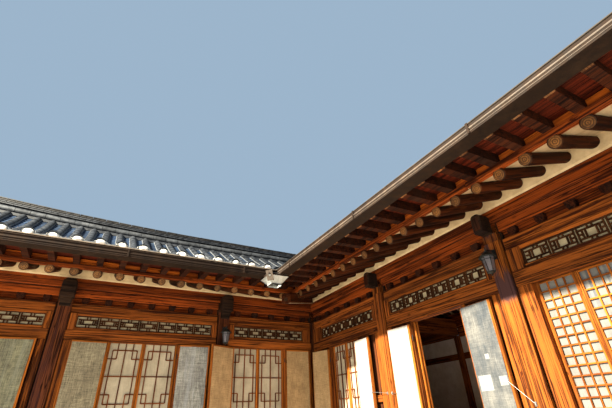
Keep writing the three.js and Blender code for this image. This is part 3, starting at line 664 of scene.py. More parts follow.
# The grid window's paper: its blue-grey runs are painted dappled shade.
sunPaper = makePaper("sunPaper", (0.205, 0.2, 0.187), (0.135, 0.132, 0.127), (0.07, 0.08, 0.1), 0.2, 0.9)
dullPaper = makePaper("dullPaper", (0.5, 0.42, 0.27), (0.33, 0.27, 0.17), (0.26, 0.21, 0.13), 0.2)
greenCloth = makePaper("greenCloth", (0.25, 0.24, 0.15), (0.16, 0.15, 0.1), (0.24, 0.25, 0.2), 0.9)
beigeCloth = makePaper("beigeCloth", (0.36, 0.31, 0.2), (0.23, 0.19, 0.125), (0.3, 0.27, 0.22), 0.9)
blueCloth = makePaper("blueCloth", (0.45, 0.44, 0.39), (0.27, 0.26, 0.24), (0.42, 0.45, 0.48), 0.9)
tanCloth = makePaper("tanCloth", (0.56, 0.36, 0.17), (0.38, 0.24, 0.11), (0.44, 0.31, 0.18), 0.6)
whitePaper = makePaper("whitePaper", (0.34, 0.325, 0.3), (0.28, 0.265, 0.25), (0.22, 0.23, 0.25), 0.3, 0.5)
# The mended patches are real; their dim bluish grey is partly painted shade.
shadedPatchPaper = makePaper("shadedPatchPaper", (0.25, 0.255, 0.255), (0.19, 0.2, 0.205), (0.15, 0.16, 0.18), 0.3)
# The leaf beside the doorway: its dark blue-grey with lighter blotches is painted dappled shade and light.
paperInPaintedShade = makePaper("paperInPaintedShade", (0.16, 0.155, 0.147), (0.047, 0.055, 0.066), (0.26, 0.25, 0.24), 0.5, 0.8)
tileClay = makeTileClay("tileClay", (0.022, 0.025, 0.032), (0.0065, 0.0075, 0.0105), (0.07, 0.076, 0.086))
# The blue of the hollow tiles is a painted reflection of the sky.
hollowClayPaintedSky = makeTileClay("hollowClayPaintedSky", (0.022, 0.042, 0.085), (0.008, 0.014, 0.032), (0.055, 0.08, 0.12))
ridgeClay = makeTileClay("ridgeClay", (0.048, 0.052, 0.06), (0.019, 0.021, 0.025), (0.1, 0.1, 0.1))
brownClay = makeTileClay("brownClay", (0.019, 0.017, 0.017), (0.008, 0.007, 0.007), (0.03, 0.029, 0.029))
# Pale strips along the foot of each round row and on the front rim of each hollow course.
paleEdgeStrip = makePlaster("paleEdgeStrip", (0.14, 0.147, 0.16), (0.06, 0.064, 0.07), 4)
granite = makeStone("granite", (0.62, 0.6, 0.56), (0.45, 0.43, 0.4), (0.12, 0.12, 0.12))
gutterPaint = makeMetal("gutterPaint", (0.025, 0.0135, 0.008), (0.0125, 0.007, 0.0048), 0.0, 0.7, 0.3, 0.1)
# Lighter paints: on the right gutter's beads they are painted sunlight; on the hopper's strap, its tan paint.
wornAndSunlitPaint = makeMetal("wornAndSunlitPaint", (0.125, 0.096, 0.075), (0.07, 0.052, 0.042), 0.0, 0.6, 0.3, 0.2)
sunlitRimPaint = makeMetal("sunlitRimPaint", (0.062, 0.045, 0.032), (0.032, 0.023, 0.017), 0.0, 0.6, 0.3, 0.2)
zinc = makeMetal("zinc", (0.8, 0.82, 0.8), (0.42, 0.44, 0.43), 0.3, 0.45, 0.4)
iron = makeMetal("iron", (0.014, 0.021, 0.02), (0.006, 0.009, 0.009), 0.3, 0.45, 0.2)
steel = makeMetal("steel", (0.45, 0.44, 0.42), (0.3, 0.29, 0.28), 0.9, 0.35, 0.12)
glass = makeGlass("glass", (0.5, 0.47, 0.53), (0.34, 0.31, 0.36))
print("materials made")


# Columns

columnShape = {"groove": 0.008, "inset": 0.03, "edge": 0.008, "neck": 3.464}


def columnOutline(centre):
    edge, inset, groove = columnShape["edge"], columnShape["inset"], columnShape["groove"]
    steps = [(0, edge), (0, inset), (groove, inset + 0.002), (groove, inset + 0.004), (0, inset + 0.006)]
    corner = steps[::-1] + [(b, a) for a, b in steps]
    outline = []
    for sx, sy in ((0, 0), (1, 0), (1, 1), (0, 1)):
        turned = corner if sx == sy else corner[::-1]
        for a, b in turned:
            outline.append((centre - half + (column - a if sx else a), (column - b if sy else b)))
    return outline


def makeColumn(name, side, centre, look):
    shape = Shape(name)
    shape.prism(columnOutline(centre), (levels["baseStone"], levels["beam"]), along=2)
    if centre < 0:
        top = (levels["beam"], columnShape["neck"])
        shape.block((centre - half, centre + half), (0.0, 0.1), top, 2, 0.006)
    makePiece(shape, f"{name}_shaft", [look], side, replaces=[name], smooth=20)


makeColumn("column_corner", "left", half, oldPine)
for side, wing in wings.items():
    for k in (1, 2, 3):
        look = oldPine if side == "left" else pineWithPaintedShadeAbove if k == 2 else pine
        makeColumn(f"column_{side}_{k}", side, wing["centres"][k], look)
print("columns made")


# Beams over the bays: tie beam, bearing blocks with their board, plate and purlin

joinery = {
    "front": 0.02,
    "back": 0.17,
    "post": 0.125,
    "jamb": 0.06,
    "panel": (0.075, 0.105),
    "joint": 0.009,
    "apron": 0.12,
    "gap": 0.01,
    "slot": 0.026,
}
blocks = {"width": 0.115, "face": 0.045, "board": 0.12, "spacing": 0.4, "cheek": 0.028}


def makeBeams(side, wing):
    shape = Shape("beams" + side)
    centres = wing["centres"]
    tie, beam, plate, purlin = (levels[k] for k in ("tie", "beam", "plate", "purlin"))
    for k in (1, 2, 3):
        x0, x1 = clearBay(wing, k)
        stop = x1 - joinery["slot"]
        shape.block((x0 - 0.03, stop), (0.04, 0.17), (tie, beam), edge=0.007)
        shape.block((x0, x1), (blocks["board"], 0.15), (beam, plate), edge=0.002, look=1)
        shape.block((x0, stop), (0.03, 0.18), (plate, purlin - 0.012), edge=0.006, look=1)
        # These two dark strips are painted shade: the shadow gap at the slot by the column and the shadow
        # line under the purlin.
        shape.block((stop, x1 + 0.02), (0.08, 0.17), (tie, purlin - 0.001), 2, 0, look=3)
        shape.block((x0, x1), (0.045, 0.17), (purlin - 0.012, purlin), edge=0, look=3)
        count = round((centres[k - 1] - centres[k]) / blocks["spacing"])
        for i in range(count):
            bearingBlock(shape, x0 + (x1 - x0) * (i + 0.5) / count)
    looks = [pine, redPine, flyingPine, darkPineAndShade]
    makePiece(shape, f"beams_{side}", looks, side, replaces=[f"tie_beam_{side}"])


# A bearing block narrows to its foot below a straight upper part.
def bearingBlock(shape, x):
    w, foot = blocks["width"] / 2, blocks["width"] / 2 - blocks["cheek"]
    z0, z1 = levels["beam"], levels["plate"]
    waist = z0 + 0.05
    outline = [(x - foot, z0), (x + foot, z0), (x + w, waist), (x + w, z1), (x - w, z1), (x - w, waist)]
    shape.prism(outline, (blocks["face"], blocks["board"]), along=1, look=2)


def makePurlins():
    behind = houseBack - column
    rows = {
        "front": ((0, column), rafterAxis, {"left": column, "right": 0.0}),
        "back": ((behind, houseBack), lambda v: rafterAxis(houseBack - v),
                 {"left": houseBack, "right": behind}),
    }
    for row, (v, axis, ends) in rows.items():
        shape = Shape("purlin" + row.capitalize())
        for side, wing in wings.items():
            turn = swapped if side == "right" else None
            stops = [roofStart(wing), wing["centres"][2], wing["centres"][1], ends[side]]
            for span in zip(stops, stops[1:]):
                addPurlin(shape, span, v, axis, turn)
        makePiece(shape, f"purlin_{row}_timbers", [redPine], replaces=[f"purlin_{row}"])


def addPurlin(shape, span, v, axis, turn):
    low, high = (axis(s) - logDrop for s in v)
    z, edge = levels["purlin"], 0.016
    outline = [(v[0] + edge, z), (v[1] - edge, z), (v[1], z + edge)]
    outline += [(v[1], high), (v[0], low), (v[0], z + edge)]
    shape.prism(outline, span, warp=turn)


for side, wing in wings.items():
    makeBeams(side, wing)
makePurlins()
print("beams made")


# Roof frame inside: cross beams with their heads over the columns, posts, upper beams and purlins

frameShape = {"beamTop": 3.777, "midSeat": 4.132, "midDepth": 0.16, "ridgeBottom": 4.90}
headShape = {"out": 0.20, "top": 3.718, "edge": 0.014,
             "bracket": ((0, -0.12), (-0.03, -0.12), (-0.13, -0.02), (-0.14, 0.01), (0, 0.01))}


def makeRoofFrame(side, wing):
    shape = Shape("frame" + side)
    mirror = lambda v: houseBack - v
    middle = (roof["knee"] - 0.1, roof["knee"] + 0.1)
    behind = (mirror(middle[1]), mirror(middle[0]))
    beamTop, seat, ridgeBottom = (frameShape[k] for k in ("beamTop", "midSeat", "ridgeBottom"))
    upper = seat - frameShape["midDepth"]
    for k, x in enumerate(wing["centres"][:3]):
        span = (x - half, x + half)
        front = column if k == 0 else 0.101
        shape.block(span, (front, mirror(front)), (levels["beam"], beamTop), 1, 0.012)
        for post in (middle, behind):
            shape.block(span, post, (beamTop, upper), 2, 0.01)
        shape.block(span, (middle[0], behind[1]), (upper, seat), 1, 0.012)
        shape.block(span, (ridgeLine - half, ridgeLine + half), (seat, ridgeBottom), 2, 0.01)
    stops = [roofStart(wing), wing["centres"][2], wing["centres"][1]]
    ridge = (ridgeLine - 0.1, ridgeLine + 0.1)
    tops = rafterAxis(middle[0]) - logDrop, deckBottom(ridge[0])
    for v, bottom, top in ((middle, seat, tops[0]), (behind, seat, tops[0]), (ridge, ridgeBottom, tops[1])):
        for x0, x1 in zip(stops, [*stops[1:], v[0]]):
            shape.block((x0, x1), v, (bottom, top), 0, 0.012)
    makePiece(shape, f"roof_timbers_{side}", [pine], side, replaces=[f"roof_frame_{side}"])


# The head of a cross beam: a block with a rounded top, out over its column.
def makeHeads(side, wing):
    shape = Shape("heads" + side)
    out, top, edge = (headShape[k] for k in ("out", "top", "edge"))
    width, low, brow = wing["head"]

    def section(u, v, inset):
        w, brim = width / 2 - inset, top - inset - brow
        ring = [(w, low + inset), (w * 0.9, low + inset / 2), (-w * 0.9, low + inset / 2), (-w, low + inset)]
        ring += [(brow - w - brow * c, brim + brow * s) for c, s in arc(0, 0.5, 5)]
        ring += [(w - brow + brow * s, brim + brow * c) for c, s in arc(0, 0.5, 5)]
        return [(u + a, v, z) for a, z in ring]

    for u in wing["centres"][1:3]:
        shape.skin([section(u, -out, edge), section(u, -out + edge, 0), section(u, 0, 0)])
        if side == "left":
            under = [(v, low + z) for v, z in headShape["bracket"]]
            shape.prism(under, (u - 0.085, u + 0.085))
        else:
            face = (-out - 0.004, -out + 0.01)
            shape.block((u - 0.045, u + 0.045), face, (low + 0.03, top - 0.05), 2, 0.004, look=1)
    makePiece(shape, f"beam_heads_{side}", [darkPineAndShade, flyingPine], side, smooth=40)


for side, wing in wings.items():
    makeRoofFrame(side, wing)
    makeHeads(side, wing)
print("roof frame made")


# Rafters: round logs, and the plaster between them and over the upper slope

rafterShape = {"sides": 22, "wander": 0.004, "bevel": 0.01}


def rafterPlaces(wing, start, stop):
    places = []
    k = math.ceil((start + roof["logRadius"] - wing["rafterStart"]) / wing["rafterPitch"])
    while wing["rafterStart"] + k * wing["rafterPitch"] < stop:
        places.append(wing["rafterStart"] + k * wing["rafterPitch"])
        k += 1
    return places


def addLog(shape, x, v0, v1, toPlace):
    chance = shape.chance
    radius = roof["logRadius"] - chance.uniform(0, rafterShape["wander"])
    length = (v1 - v0) * math.hypot(1, roof["slope"])
    bevel = rafterShape["bevel"]
    steps = [(0, radius - bevel * 0.7), (bevel * 0.5, radius)]
    steps += [(length * s, radius - chance.uniform(0, rafterShape["wander"])) for s in (0.2, 0.45, 0.7)]
    steps += [(length, radius)]
    lean = chance.uniform(-0.006, 0.006)
    shape.stick(toPlace(x, v0), toPlace(x + lean, v1), steps, rafterShape["sides"], endLook=1)


def makeRafters(side, wing):
    start, foot, knee = roofStart(wing), roof["logEnd"], roof["knee"]
    logs = Shape("logs" + side)
    for x in rafterPlaces(wing, start, knee - 0.1):
        first = max(foot, x + 0.1)
        if knee - first > 0.15:
            addLog(logs, x, first, knee, lambda u, v: (u, v, rafterAxis(v)))
    for x in rafterPlaces(wing, start, houseBack - foot - 0.05):
        inner = min(knee, houseBack - x - 0.05)
        if inner - foot > 0.15:
            addLog(logs, x, foot, inner, lambda u, v: (u, houseBack - v, rafterAxis(v)))
    looks = [logPine, leftWingLogEnd if side == "left" else logEnd]
    node = f"rafters_{side}"
    makePiece(logs, f"rafter_logs_{side}", looks, side, replaces=[node], smooth=50)
    makeDeck(side, start)


# The plastered underside lies between the logs, and closes the gap over each purlin.
def makeDeck(side, start):
    deck = Shape("deck" + side)
    knee = roof["knee"]
    overlap = 0.012

    def strip(stops, mirrored):
        places = [(houseBack - t if mirrored else t, t) for t in stops]
        ring = [(v, deckBottom(t) - (overlap if t <= knee else 0)) for v, t in places]
        ring += [(v, deckTop(t) - 0.002) for v, t in places[::-1]]
        deck.skin([[(start, v, z) for v, z in ring], [(v - 0.002, v, z) for v, z in ring]])

    for mirrored in (False, True):
        strip([roof["logEnd"] + overlap, -0.4, 0.2, 0.8, knee], mirrored)
        strip([knee, 1.9, ridgeLine], mirrored)
    addFillers(deck, start)
    makePiece(deck, f"eave_plaster_{side}", [eavePlaster], side, smooth=20)


# Plaster that closes the gap between the purlins and the deck.
def addFillers(deck, start):
    front = [(-0.03, 3.79), (0.0, 3.775), (0.004, 3.775), (0.12, 3.8)]
    front += [(v, deckBottom(v)) for v in (0.12, -0.045)]
    deck.prism(front, (start, -0.03))
    deck.prism([(houseBack - v, z) for v, z in front], (start, houseBack + 0.03))


# The log in the valley, with a strip of plaster under it. Its reaches are along either wing.
valleyLog = {"reach": (-1.25, 1.22), "strip": (-1.24, -0.1)}


def makeValley():
    shape = Shape("valley")
    near, far = (v * diagonal for v in valleyLog["reach"])
    low, high = (deckBottom(v) for v in valleyLog["reach"])
    rise = (high - low) / (far - near)

    def lean(p):
        return ((p[0] - p[1]) / diagonal, (p[0] + p[1]) / diagonal, p[2] + rise * (p[0] - near))

    shape.block((near, far), (-0.09, 0.09), (low - 0.19, low - 0.001), 0, 0.012, warp=lean)
    strip = [v * diagonal for v in valleyLog["strip"]]
    shape.block(strip, (-0.075, -0.045), (low - 0.196, low - 0.189), 0, 0, look=1, warp=lean)
    face = (near - 0.003, near + 0.01)
    shape.block(face, (-0.035, 0.04), (low - 0.15, low - 0.08), 0, 0.01, look=2, warp=lean)
    looks = [logPine, eavePlaster, darkPineAndShade]
    makePiece(shape, "valley_timber", looks, replaces=["valley_rafter"])


for side, wing in wings.items():
    makeRafters(side, wing)
makeValley()
print("rafters made")


# Flying rafters with the boards between them and the batten at the rafters' ends

flying = {"height": 0.122, "width": 0.09, "tail": -0.6, "tip": 0.05, "board": 0.03, "boardEnd": -0.62,
          "batten": (-0.975, -0.9), "infill": 0.02}


def makeFlying(side, wing):
    shape = Shape("flying" + side)
    start, edge, tail = roofStart(wing), roof["flyingEnd"], flying["tail"]
    w, height = flying["width"] / 2, flying["height"]
    ceiling = lambda v: flyingTop(v) - flying["board"]
    cutOff = lambda p: (min(p[0], p[1]), p[1], p[2])
    places = [x for x in rafterPlaces(wing, start, -0.7) if tail - max(edge, x + 0.06) >= 0.1]
    for x in places:
        first = max(edge, x + 0.06)
        stops = [v for v in (first, -0.9, -0.82, tail) if v >= first]
        low = [(v, max(ceiling(v) - height, deckTop(v) + 0.001)) for v in stops]
        top = [(v, max(ceiling(v), deckTop(v) + 0.002)) for v in (tail, first)]
        shape.prism(low + top, (x - w, x + w))
        if first == edge:
            z = ceiling(edge) - height
            tip = (edge, edge + flying["tip"])
            shape.block((x - w - 0.002, x + w + 0.002), tip, (z - 0.003, z + 0.05), 1, 0.006, look=4)
    inner = flying["boardEnd"]
    outline = [(edge, ceiling(edge)), (inner, ceiling(inner))]
    outline += [(inner, flyingTop(inner)), (edge, flyingTop(edge))]
    for span in boardRuns(start, tail, 1.9):
        shape.prism(outline, span, look=1, warp=cutOff)
    near, far = flying["batten"]
    low, high = deckTop((near + far) / 2) - 0.045, ceiling(far) - height + 0.004
    for x0, x1 in boardRuns(start, far, 2.6):
        shape.block((x0, x1 - 0.002), (near, far), (low, high), 0, 0.006, look=3, warp=cutOff)
    v = (far - 0.012, far - 0.012 + flying["infill"])
    for x0, x1 in zip([start] + places, places + [-0.9]):
        a, b = x0 + w + 0.001, x1 - w - 0.001
        if b - a > 0.05:
            shape.block((a, b), v, (high, ceiling(far) - 0.012), 0, 0.003, look=2, warp=cutOff)
            if b < edge:
                strip = ceiling(edge) - 0.012, ceiling(edge) + 0.001
                shape.block((a, b), (edge + 0.004, edge + 0.07), strip, 0, 0.003, look=4)
    looks = [flyingPine, eaveBoard, boardPine, redPine, tipPine]
    node = f"flying_rafters_{side}"
    makePiece(shape, f"flying_timbers_{side}", looks, side, replaces=[node])


def boardRuns(start, stop, length):
    runs = []
    x = start
    while x < stop:
        runs.append((x, min(x + length, stop)))
        x += length
    return runs


for side, wing in wings.items():
    makeFlying(side, wing)
print("flying rafters made")


# Fronts of the bays: low wall, sill, posts, panels, lintel and transom


def sillOf(kind):
    return levels["floor"] if kind == "door" else levels["windowSill"]


def makeBayBase(side, wing, k, shape):
    x0, x1 = clearBay(wing, k)
    foot, sill = levels["platform"], levels["sillBottom"]
    shape.block((x0, x1), (joinery["front"], column), (sill, levels["floor"]), 0, 0.007)
    low = Shape(f"lowWall{side}{k}")
    start, stop = x0 + 0.045, x1 - 0.045
    low.block((start, stop), (0.075, column - 0.01), (foot, sill), 0, 0.002)
    rows = (foot, 0.55, 0.65, sill - 0.004)
    for r, (z0, z1) in enumerate(zip(rows, rows[1:])):
        x = start - (0.11 if r % 2 else 0.0)
        while x < stop:
            width = 0.21 + low.chance.uniform(-0.03, 0.05)
            a, b = max(x, start), min(x + width, stop)
            if b - a > 0.05:
                low.block((a + 0.005, b - 0.005), (0.06, 0.1), (z0 + 0.006, z1 - 0.006), 0, 0.008, look=1)
            x += width
    makePiece(low, f"low_wall_{side}_{k}", [mortar, granite], side)


def makeBay(side, wing, k):
    kind, open0, open1 = wing["openings"][k - 1][:3]
    x0, x1 = clearBay(wing, k)
    y = (joinery["front"], joinery["back"])
    gap, slot, post, jamb, cut = (joinery[key] for key in ("gap", "slot", "post", "jamb", "joint"))
    floor, tie, lintelTop, sill = levels["floor"], levels["tie"], levels["lintelTop"], sillOf(kind)
    lintel, transomLow, transomTop = wing["lintel"], *levels["transom"]
    near = x0 + post
    inner = x1 - (wing["cornerPost"] if k == 1 else post)
    shape = Shape(f"bay{side}{k}")
    base = Shape(f"base{side}{k}") if kind == "door" else shape
    makeBayBase(side, wing, k, base)
    if kind == "door":
        node = f"threshold_{side}_{k}"
        makePiece(base, f"doorsill_{side}_{k}", [pine], side, replaces=[node])
    # Dark strips beside the columns at both ends of the bay: painted shadow in the gap between column and
    # post.
    for x in ((x0, x0 + gap), (x1 - slot, x1)):
        shape.block(x, (0.08, y[1]), (floor, tie), 2, 0, look=4)
    if inner - open1 < jamb + 0.04:
        inner = open1
    upper, lower = (lintelTop, tie), (floor, lintel)
    for a, b in ((x0 + gap, near), (inner, x1 - slot)):
        if b - a > 0.2:
            split = b - post
            for z in (upper, lower):
                shape.block((a, split - 0.002), y, z, 2, 0.006)
            a = split
        for z in (upper, lower):
            shape.block((a, b), y, z, 2, cut)
    shape.block((x0 + 0.002, x1 - slot), (y[0] - 0.004, y[1]), (lintel, lintelTop), 0, 0.008)
    for rail in ((lintelTop, transomLow), (transomTop, tie)):
        shape.block((near, inner), (y[0] + 0.02, y[1]), rail, 0, 0.004)
    foot = floor if kind == "door" else sill - joinery["apron"]
    for a, b in ((open0 - jamb, open0), (open1, open1 + jamb)):
        if a > near - 0.03 and b < inner + 0.03:
            shape.block((max(a, near), min(b, inner)), y, (foot, lintel), 2, 0.006)
    rail = (floor + 0.75, floor + 0.85)
    for a, b in ((near, open0 - jamb), (open1 + jamb, inner)):
        if b - a > 0.04:
            # The boards between a jamb and its post are dark pine; their darkness is partly painted shade in
            # that narrow recess.
            shape.block((a, b), joinery["panel"], lower, 2, 0, look=5)
            shape.block((a, b), (y[0] + 0.01, y[1] - 0.02), rail, 0, 0.005)
    if kind != "door":
        makeApron(shape, open0 - jamb, open1 + jamb, y, sill)
    makeTransom(shape, side, near, inner)
    looks = [pine, limePlaster, darkBar, dullPaper, darkPineAndShade, oldPine]
    makePiece(shape, f"bay_timbers_{side}_{k}", looks, side, replaces=[f"bay_frame_{side}_{k}"])


# The panelled apron under a window: a sill rail over boards between short posts.
def makeApron(shape, x0, x1, y, sill):
    rail = sill - joinery["apron"]
    shape.block((x0, x1), (y[0] - 0.01, y[1]), (rail, sill), 0, 0.008)
    count = max(2, round((x1 - x0) / 0.42))
    step = (x1 - x0) / count
    for i in range(count + 1):
        x = x0 + step * i
        a, b = max(x - 0.03, x0), min(x + 0.03, x1)
        shape.block((a, b), (y[0] + 0.008, y[1] - 0.02), (levels["floor"], rail), 2, 0.005)
    for i in range(count):
        shape.block((x0 + step * i, x0 + step * (i + 1)), joinery["panel"], (levels["floor"], rail), 0, 0.002)


# Transom lattice: framed paper squares with two ticks above and below, and double bars between them.
transom = {
    "unit": 0.315,
    "bar": {"left": 0.019, "right": 0.014},
    "pane": {"left": ((0.075, 0.106), 0.063), "right": ((0.055, 0.088), 0.05)},
    "depth": (0.062, 0.088),
    "paper": (0.09, 0.1),
    "border": 0.014,
}


def makeTransom(shape, side, x0, x1):
    z0, z1 = levels["transom"]
    w = transom["bar"][side] / 2
    y = transom["depth"]
    bar = lambda x, z: shape.block(x, y, z, 0 if x[1] - x[0] > z[1] - z[0] else 2, 0, look=2)
    shape.block((x0, x1), transom["paper"], (z0, z1), 0, 0, look=3)
    border = transom["border"]
    for x in ((x0, x0 + border), (x1 - border, x1)):
        shape.block(x, (y[0] - 0.006, y[1]), (z0, z1), 2, 0.002, look=2)
    for z in ((z0, z0 + border), (z1 - border, z1)):
        shape.block((x0, x1), (y[0] - 0.006, y[1]), z, 0, 0.002, look=2)
    count = round((x1 - x0 - 2 * border) / transom["unit"])
    step = (x1 - x0 - 2 * border) / count
    outs, inset = transom["pane"][side]
    low, high = z0 + inset, z1 - inset
    for i in range(count):
        left = x0 + border + step * i
        middle = left + step / 2
        for way in (-1, 1):
            edge = middle + way * (step / 2 - 0.017)
            if 0 < i + (way > 0) < count:
                bar((edge - w, edge + w), (z0 + border, z1 - border))
            for out in outs:
                x = middle + way * out
                bar((x - w, x + w), (low, high))
            tick = middle + way * 0.024
            bar((tick - w, tick + w), (z0 + border, low))
            bar((tick - w, tick + w), (high, z1 - border))
            a, b = sorted((middle + way * outs[1], edge))
            bar((a, b), ((z0 + z1) / 2 - w, (z0 + z1) / 2 + w))
        for z in (low, high):
            bar((left + 0.014, left + step - 0.014), (z - w, z + w))


for side, wing in wings.items():
    for k in (1, 2, 3):
        makeBay(side, wing, k)
print("bays made")


# Sashes behind the openings

sash = {
    "stile": 0.036,
    "depth": (0.100, 0.145),
    "paper": (0.122, 0.129),
    "bar": 0.016,
    "barDepth": (0.102, 0.122),
    "board": 0.40,
    "hookBar": 0.125,
    "hookFoot": 0.265,
    "middle": 0.54,
    "side": 0.115,
    "inner": 0.26,
}


def addSashFrame(shape, x0, x1, z0, z1, topRail):
    y, stile = sash["depth"], sash["stile"]
    shape.block((x0 + 0.001, x0 + stile), y, (z0, z1), 2, 0.003)
    shape.block((x1 - stile, x1 - 0.001), y, (z0, z1), 2, 0.003)
    shape.block((x0 + stile, x1 - stile), y, (z0, z0 + stile), 0, 0.003)
    shape.block((x0 + stile, x1 - stile), y, (z1 - topRail, z1), 0, 0.003)
    shape.block((x0 + stile, x1 - stile), sash["paper"], (z0 + stile, z1 - topRail), 2, 0, look=1)


def addBars(shape, uprights, levelsOf, x0, x1, z0, z1, width, look=0):
    y, w = sash["barDepth"], width / 2
    for x, low, high in uprights:
        shape.block((x - w, x + w), y, (max(low, z0), min(high, z1)), 2, 0.001, look)
    for z, left, right in levelsOf:
        shape.block((max(left, x0), min(right, x1)), (y[0] + 0.001, y[1]), (z - w, z + w), 0, 0.001, look)


# A sash whose bars turn into small hooked squares at its four corners, over a board panel.
def addHookedSash(shape, x0, x1, z0, z1):
    stile = sash["stile"]
    addSashFrame(shape, x0, x1, z0, z1, 0.01)
    a, b = x0 + stile, x1 - stile
    width = b - a
    low = z0 + sash["board"]
    shape.block((a, b), sash["barDepth"], (z0 + stile, low - stile), 0, 0.004)
    shape.block((a, b), sash["depth"], (low - stile, low), 0, 0.003)
    middle = z1 - sash["middle"]
    hookBar, hookFoot = sash["hookBar"], sash["hookFoot"]
    top, foot = z1 - hookBar, z1 - hookFoot
    lowTop, lowFoot = 2 * middle - top, 2 * middle - foot
    edges = [a + width * s for s in (sash["side"], sash["inner"], 1 - sash["inner"], 1 - sash["side"])]
    uprights = [((a + b) / 2, low, z1)]
    uprights += [(x, lowTop, top) for x in (edges[0], edges[3])]
    for x in edges[1:3]:
        uprights += [(x, foot, z1), (x, low, lowFoot)]
    rows = [(top, edges[0], edges[3]), (lowTop, edges[0], edges[3]), (middle, a, b)]
    for z in (foot, lowFoot):
        rows += [(z, a, edges[1]), (z, edges[2], b)]
    addBars(shape, uprights, rows, a, b, low, z1, sash["bar"], 2)


# A sash of upright bars crossed by level ones at an even pitch.
def addGridSash(shape, x0, x1, z0, z1, columns, pitch, topRail):
    stile = sash["stile"]
    addSashFrame(shape, x0, x1, z0, z1, topRail)
    a, b, low, high = x0 + stile, x1 - stile, z0 + stile, z1 - topRail
    uprights = [(a + (b - a) * i / columns, low, high) for i in range(1, columns)]
    count = round((high - low) / pitch)
    rows = [(low + (high - low) * i / count, a, b) for i in range(1, count)]
    addBars(shape, uprights, rows, a, b, low, high, 0.015)


# Four such sashes side by side.
def addGridSashes(shape, x0, x1, z0, z1, columns, pitch, topRail):
    stops = spread(x0, x1, 4)
    for a, b in zip(stops, stops[1:]):
        addGridSash(shape, a, b, z0, z1, columns, pitch, topRail)


def makeSashes(side, wing):
    for k, opening in enumerate(wing["openings"], 1):
        kind, x0, x1 = opening[:3]
        z0, z1 = sillOf(kind), wing["lintel"]
        shape = Shape(f"sash{side}{k}")
        if kind == "door":
            addDoorEdges(side, x1)
            continue
        if kind == "window":
            middle = (x0 + x1) / 2
            for span in ((x0, middle), (middle, x1)):
                addHookedSash(shape, *span, z0, z1)
            node, paper = f"lattice_{side}_{k}", windowPaper
        else:
            addGridSashes(shape, x0, x1, z0, z1, 4, 0.097, 0.02)
            node, paper = f"grid_window_{side}_{k}", sunPaper
        looks = [sashPine, paper, redBar]
        makePiece(shape, f"sashes_{side}_{k}", looks, side, replaces=[node])
    shape = Shape("backSash" + side)
    addGridSashes(shape, *wing["backWindow"], *levels["backWindow"], 5, 0.16, sash["stile"])
    shape.points = [(x, houseBack + joinery["front"] - y, z) for x, y, z in shape.points]
    node = f"grid_window_{side}_back"
    makePiece(shape, f"sashes_{side}_back", [sashPine, windowPaper], side, replaces=[node])


# The edges of two sliding doors that stand pushed back into the wall beside the doorway.
def addDoorEdges(side, jamb):
    shape = Shape("doorEdges")
    z = (levels["floor"] + 0.004, wings[side]["lintel"] - 0.004)
    for y in ((0.085, 0.112), (0.135, 0.162)):
        shape.block((jamb - 0.022, jamb + 0.004), y, z, 2, 0.003)
    makePiece(shape, f"sliding_door_edges_{side}", [sashPine], side)


for side, wing in wings.items():
    makeSashes(side, wing)
print("sashes made")


# Outer leaves: papered frames that stand open against the wall

leaf = {
    "frame": {"left": 0.028, "right": 0.038},
    "thickness": 0.04,
    "gap": 0.005,
    "lift": 0.012,
    "paperIn": 0.0045,
    "laps": (0.015, 0.034),
    "sheet": 0.0008,
    "knuckle": (0.08, 0.0065),
}
leafCloths = {
    "left": {1: (tanCloth, tanCloth), 2: (beigeCloth, blueCloth), 3: (beigeCloth, greenCloth)},
    "right": {1: (whitePaper, tanCloth), 2: (paperInPaintedShade, whitePaper)},
}
# Mended places on one leaf: left and right as shares of its width, and bottom and top
leafPatches = {("right", 2, 0): ((0.44, 0.56, 2.0, 2.06), (0.08, 0.46, 1.66, 1.83), (0.68, 0.9, 1.7, 1.8))}


def makeLeaf(side, wing, k, end):
    kind, x0, x1, stand = wing["openings"][k - 1]
    gap, edge = leaf["gap"], leaf["frame"][side]
    hinge, out = (x1, 1) if end else (x0, -1)
    width = (x1 - x0) / 2 - 2 * gap
    z0, z1 = sillOf(kind) + leaf["lift"], wing["leafTop"]
    turn = -out * math.radians(stand[end])
    front = joinery["front"] - gap
    cos, sin = math.cos(turn), math.sin(turn)

    def hang(p):
        u, v = out * p[0], p[1]
        return (hinge + u * cos - v * sin, front + u * sin + v * cos, p[2])

    shape = Shape(f"leaf{side}{k}{end}")
    a, b = gap, gap + width
    y = (-leaf["thickness"], 0)
    for x in ((a, a + edge), (b - edge, b)):
        shape.block(x, y, (z0, z1), 2, 0.003, warp=hang)
    for z in ((z0, z0 + edge), (z1 - edge, z1)):
        shape.block((a + edge, b - edge), y, z, 0, 0.003, warp=hang)
    paper = (y[0] + leaf["paperIn"], y[1] - leaf["paperIn"])
    shape.block((a + edge, b - edge), paper, (z0 + edge, z1 - edge), 2, 0, look=1, warp=hang)
    if side == "right":
        paper = (y[0] - leaf["sheet"], y[0] + 0.002)
        laps = leaf["laps"][::-1] if end else leaf["laps"]
        shape.block((a + laps[0], b - laps[1]), paper, (z0 + laps[0], z1 - 0.007), 2, 0, look=1, warp=hang)
    patch = (paper[0] - leaf["sheet"], paper[0])
    for s0, s1, *z in leafPatches.get((side, k, end), ()):
        shape.block((a + width * s0, a + width * s1), patch, z, 2, 0, look=2, warp=hang)
    length, radius = leaf["knuckle"]
    for z in (z0 + 0.2, z1 - 0.24):
        steps = [(0, radius), (length, radius)]
        shape.stick(hang((0, 0, z)), hang((0, 0, z + length)), steps, 8, look=3)
    letter = "ab"[end]
    node = f"{'door' if kind == 'door' else 'leaf'}_{side}_{k}{letter}"
    body = f"door_{letter}" if kind == "door" else "house"
    looks = [sashPine, leafCloths[side][k][end], shadedPatchPaper, iron]
    makePiece(shape, f"{node}_frame", looks, side, body, [node])


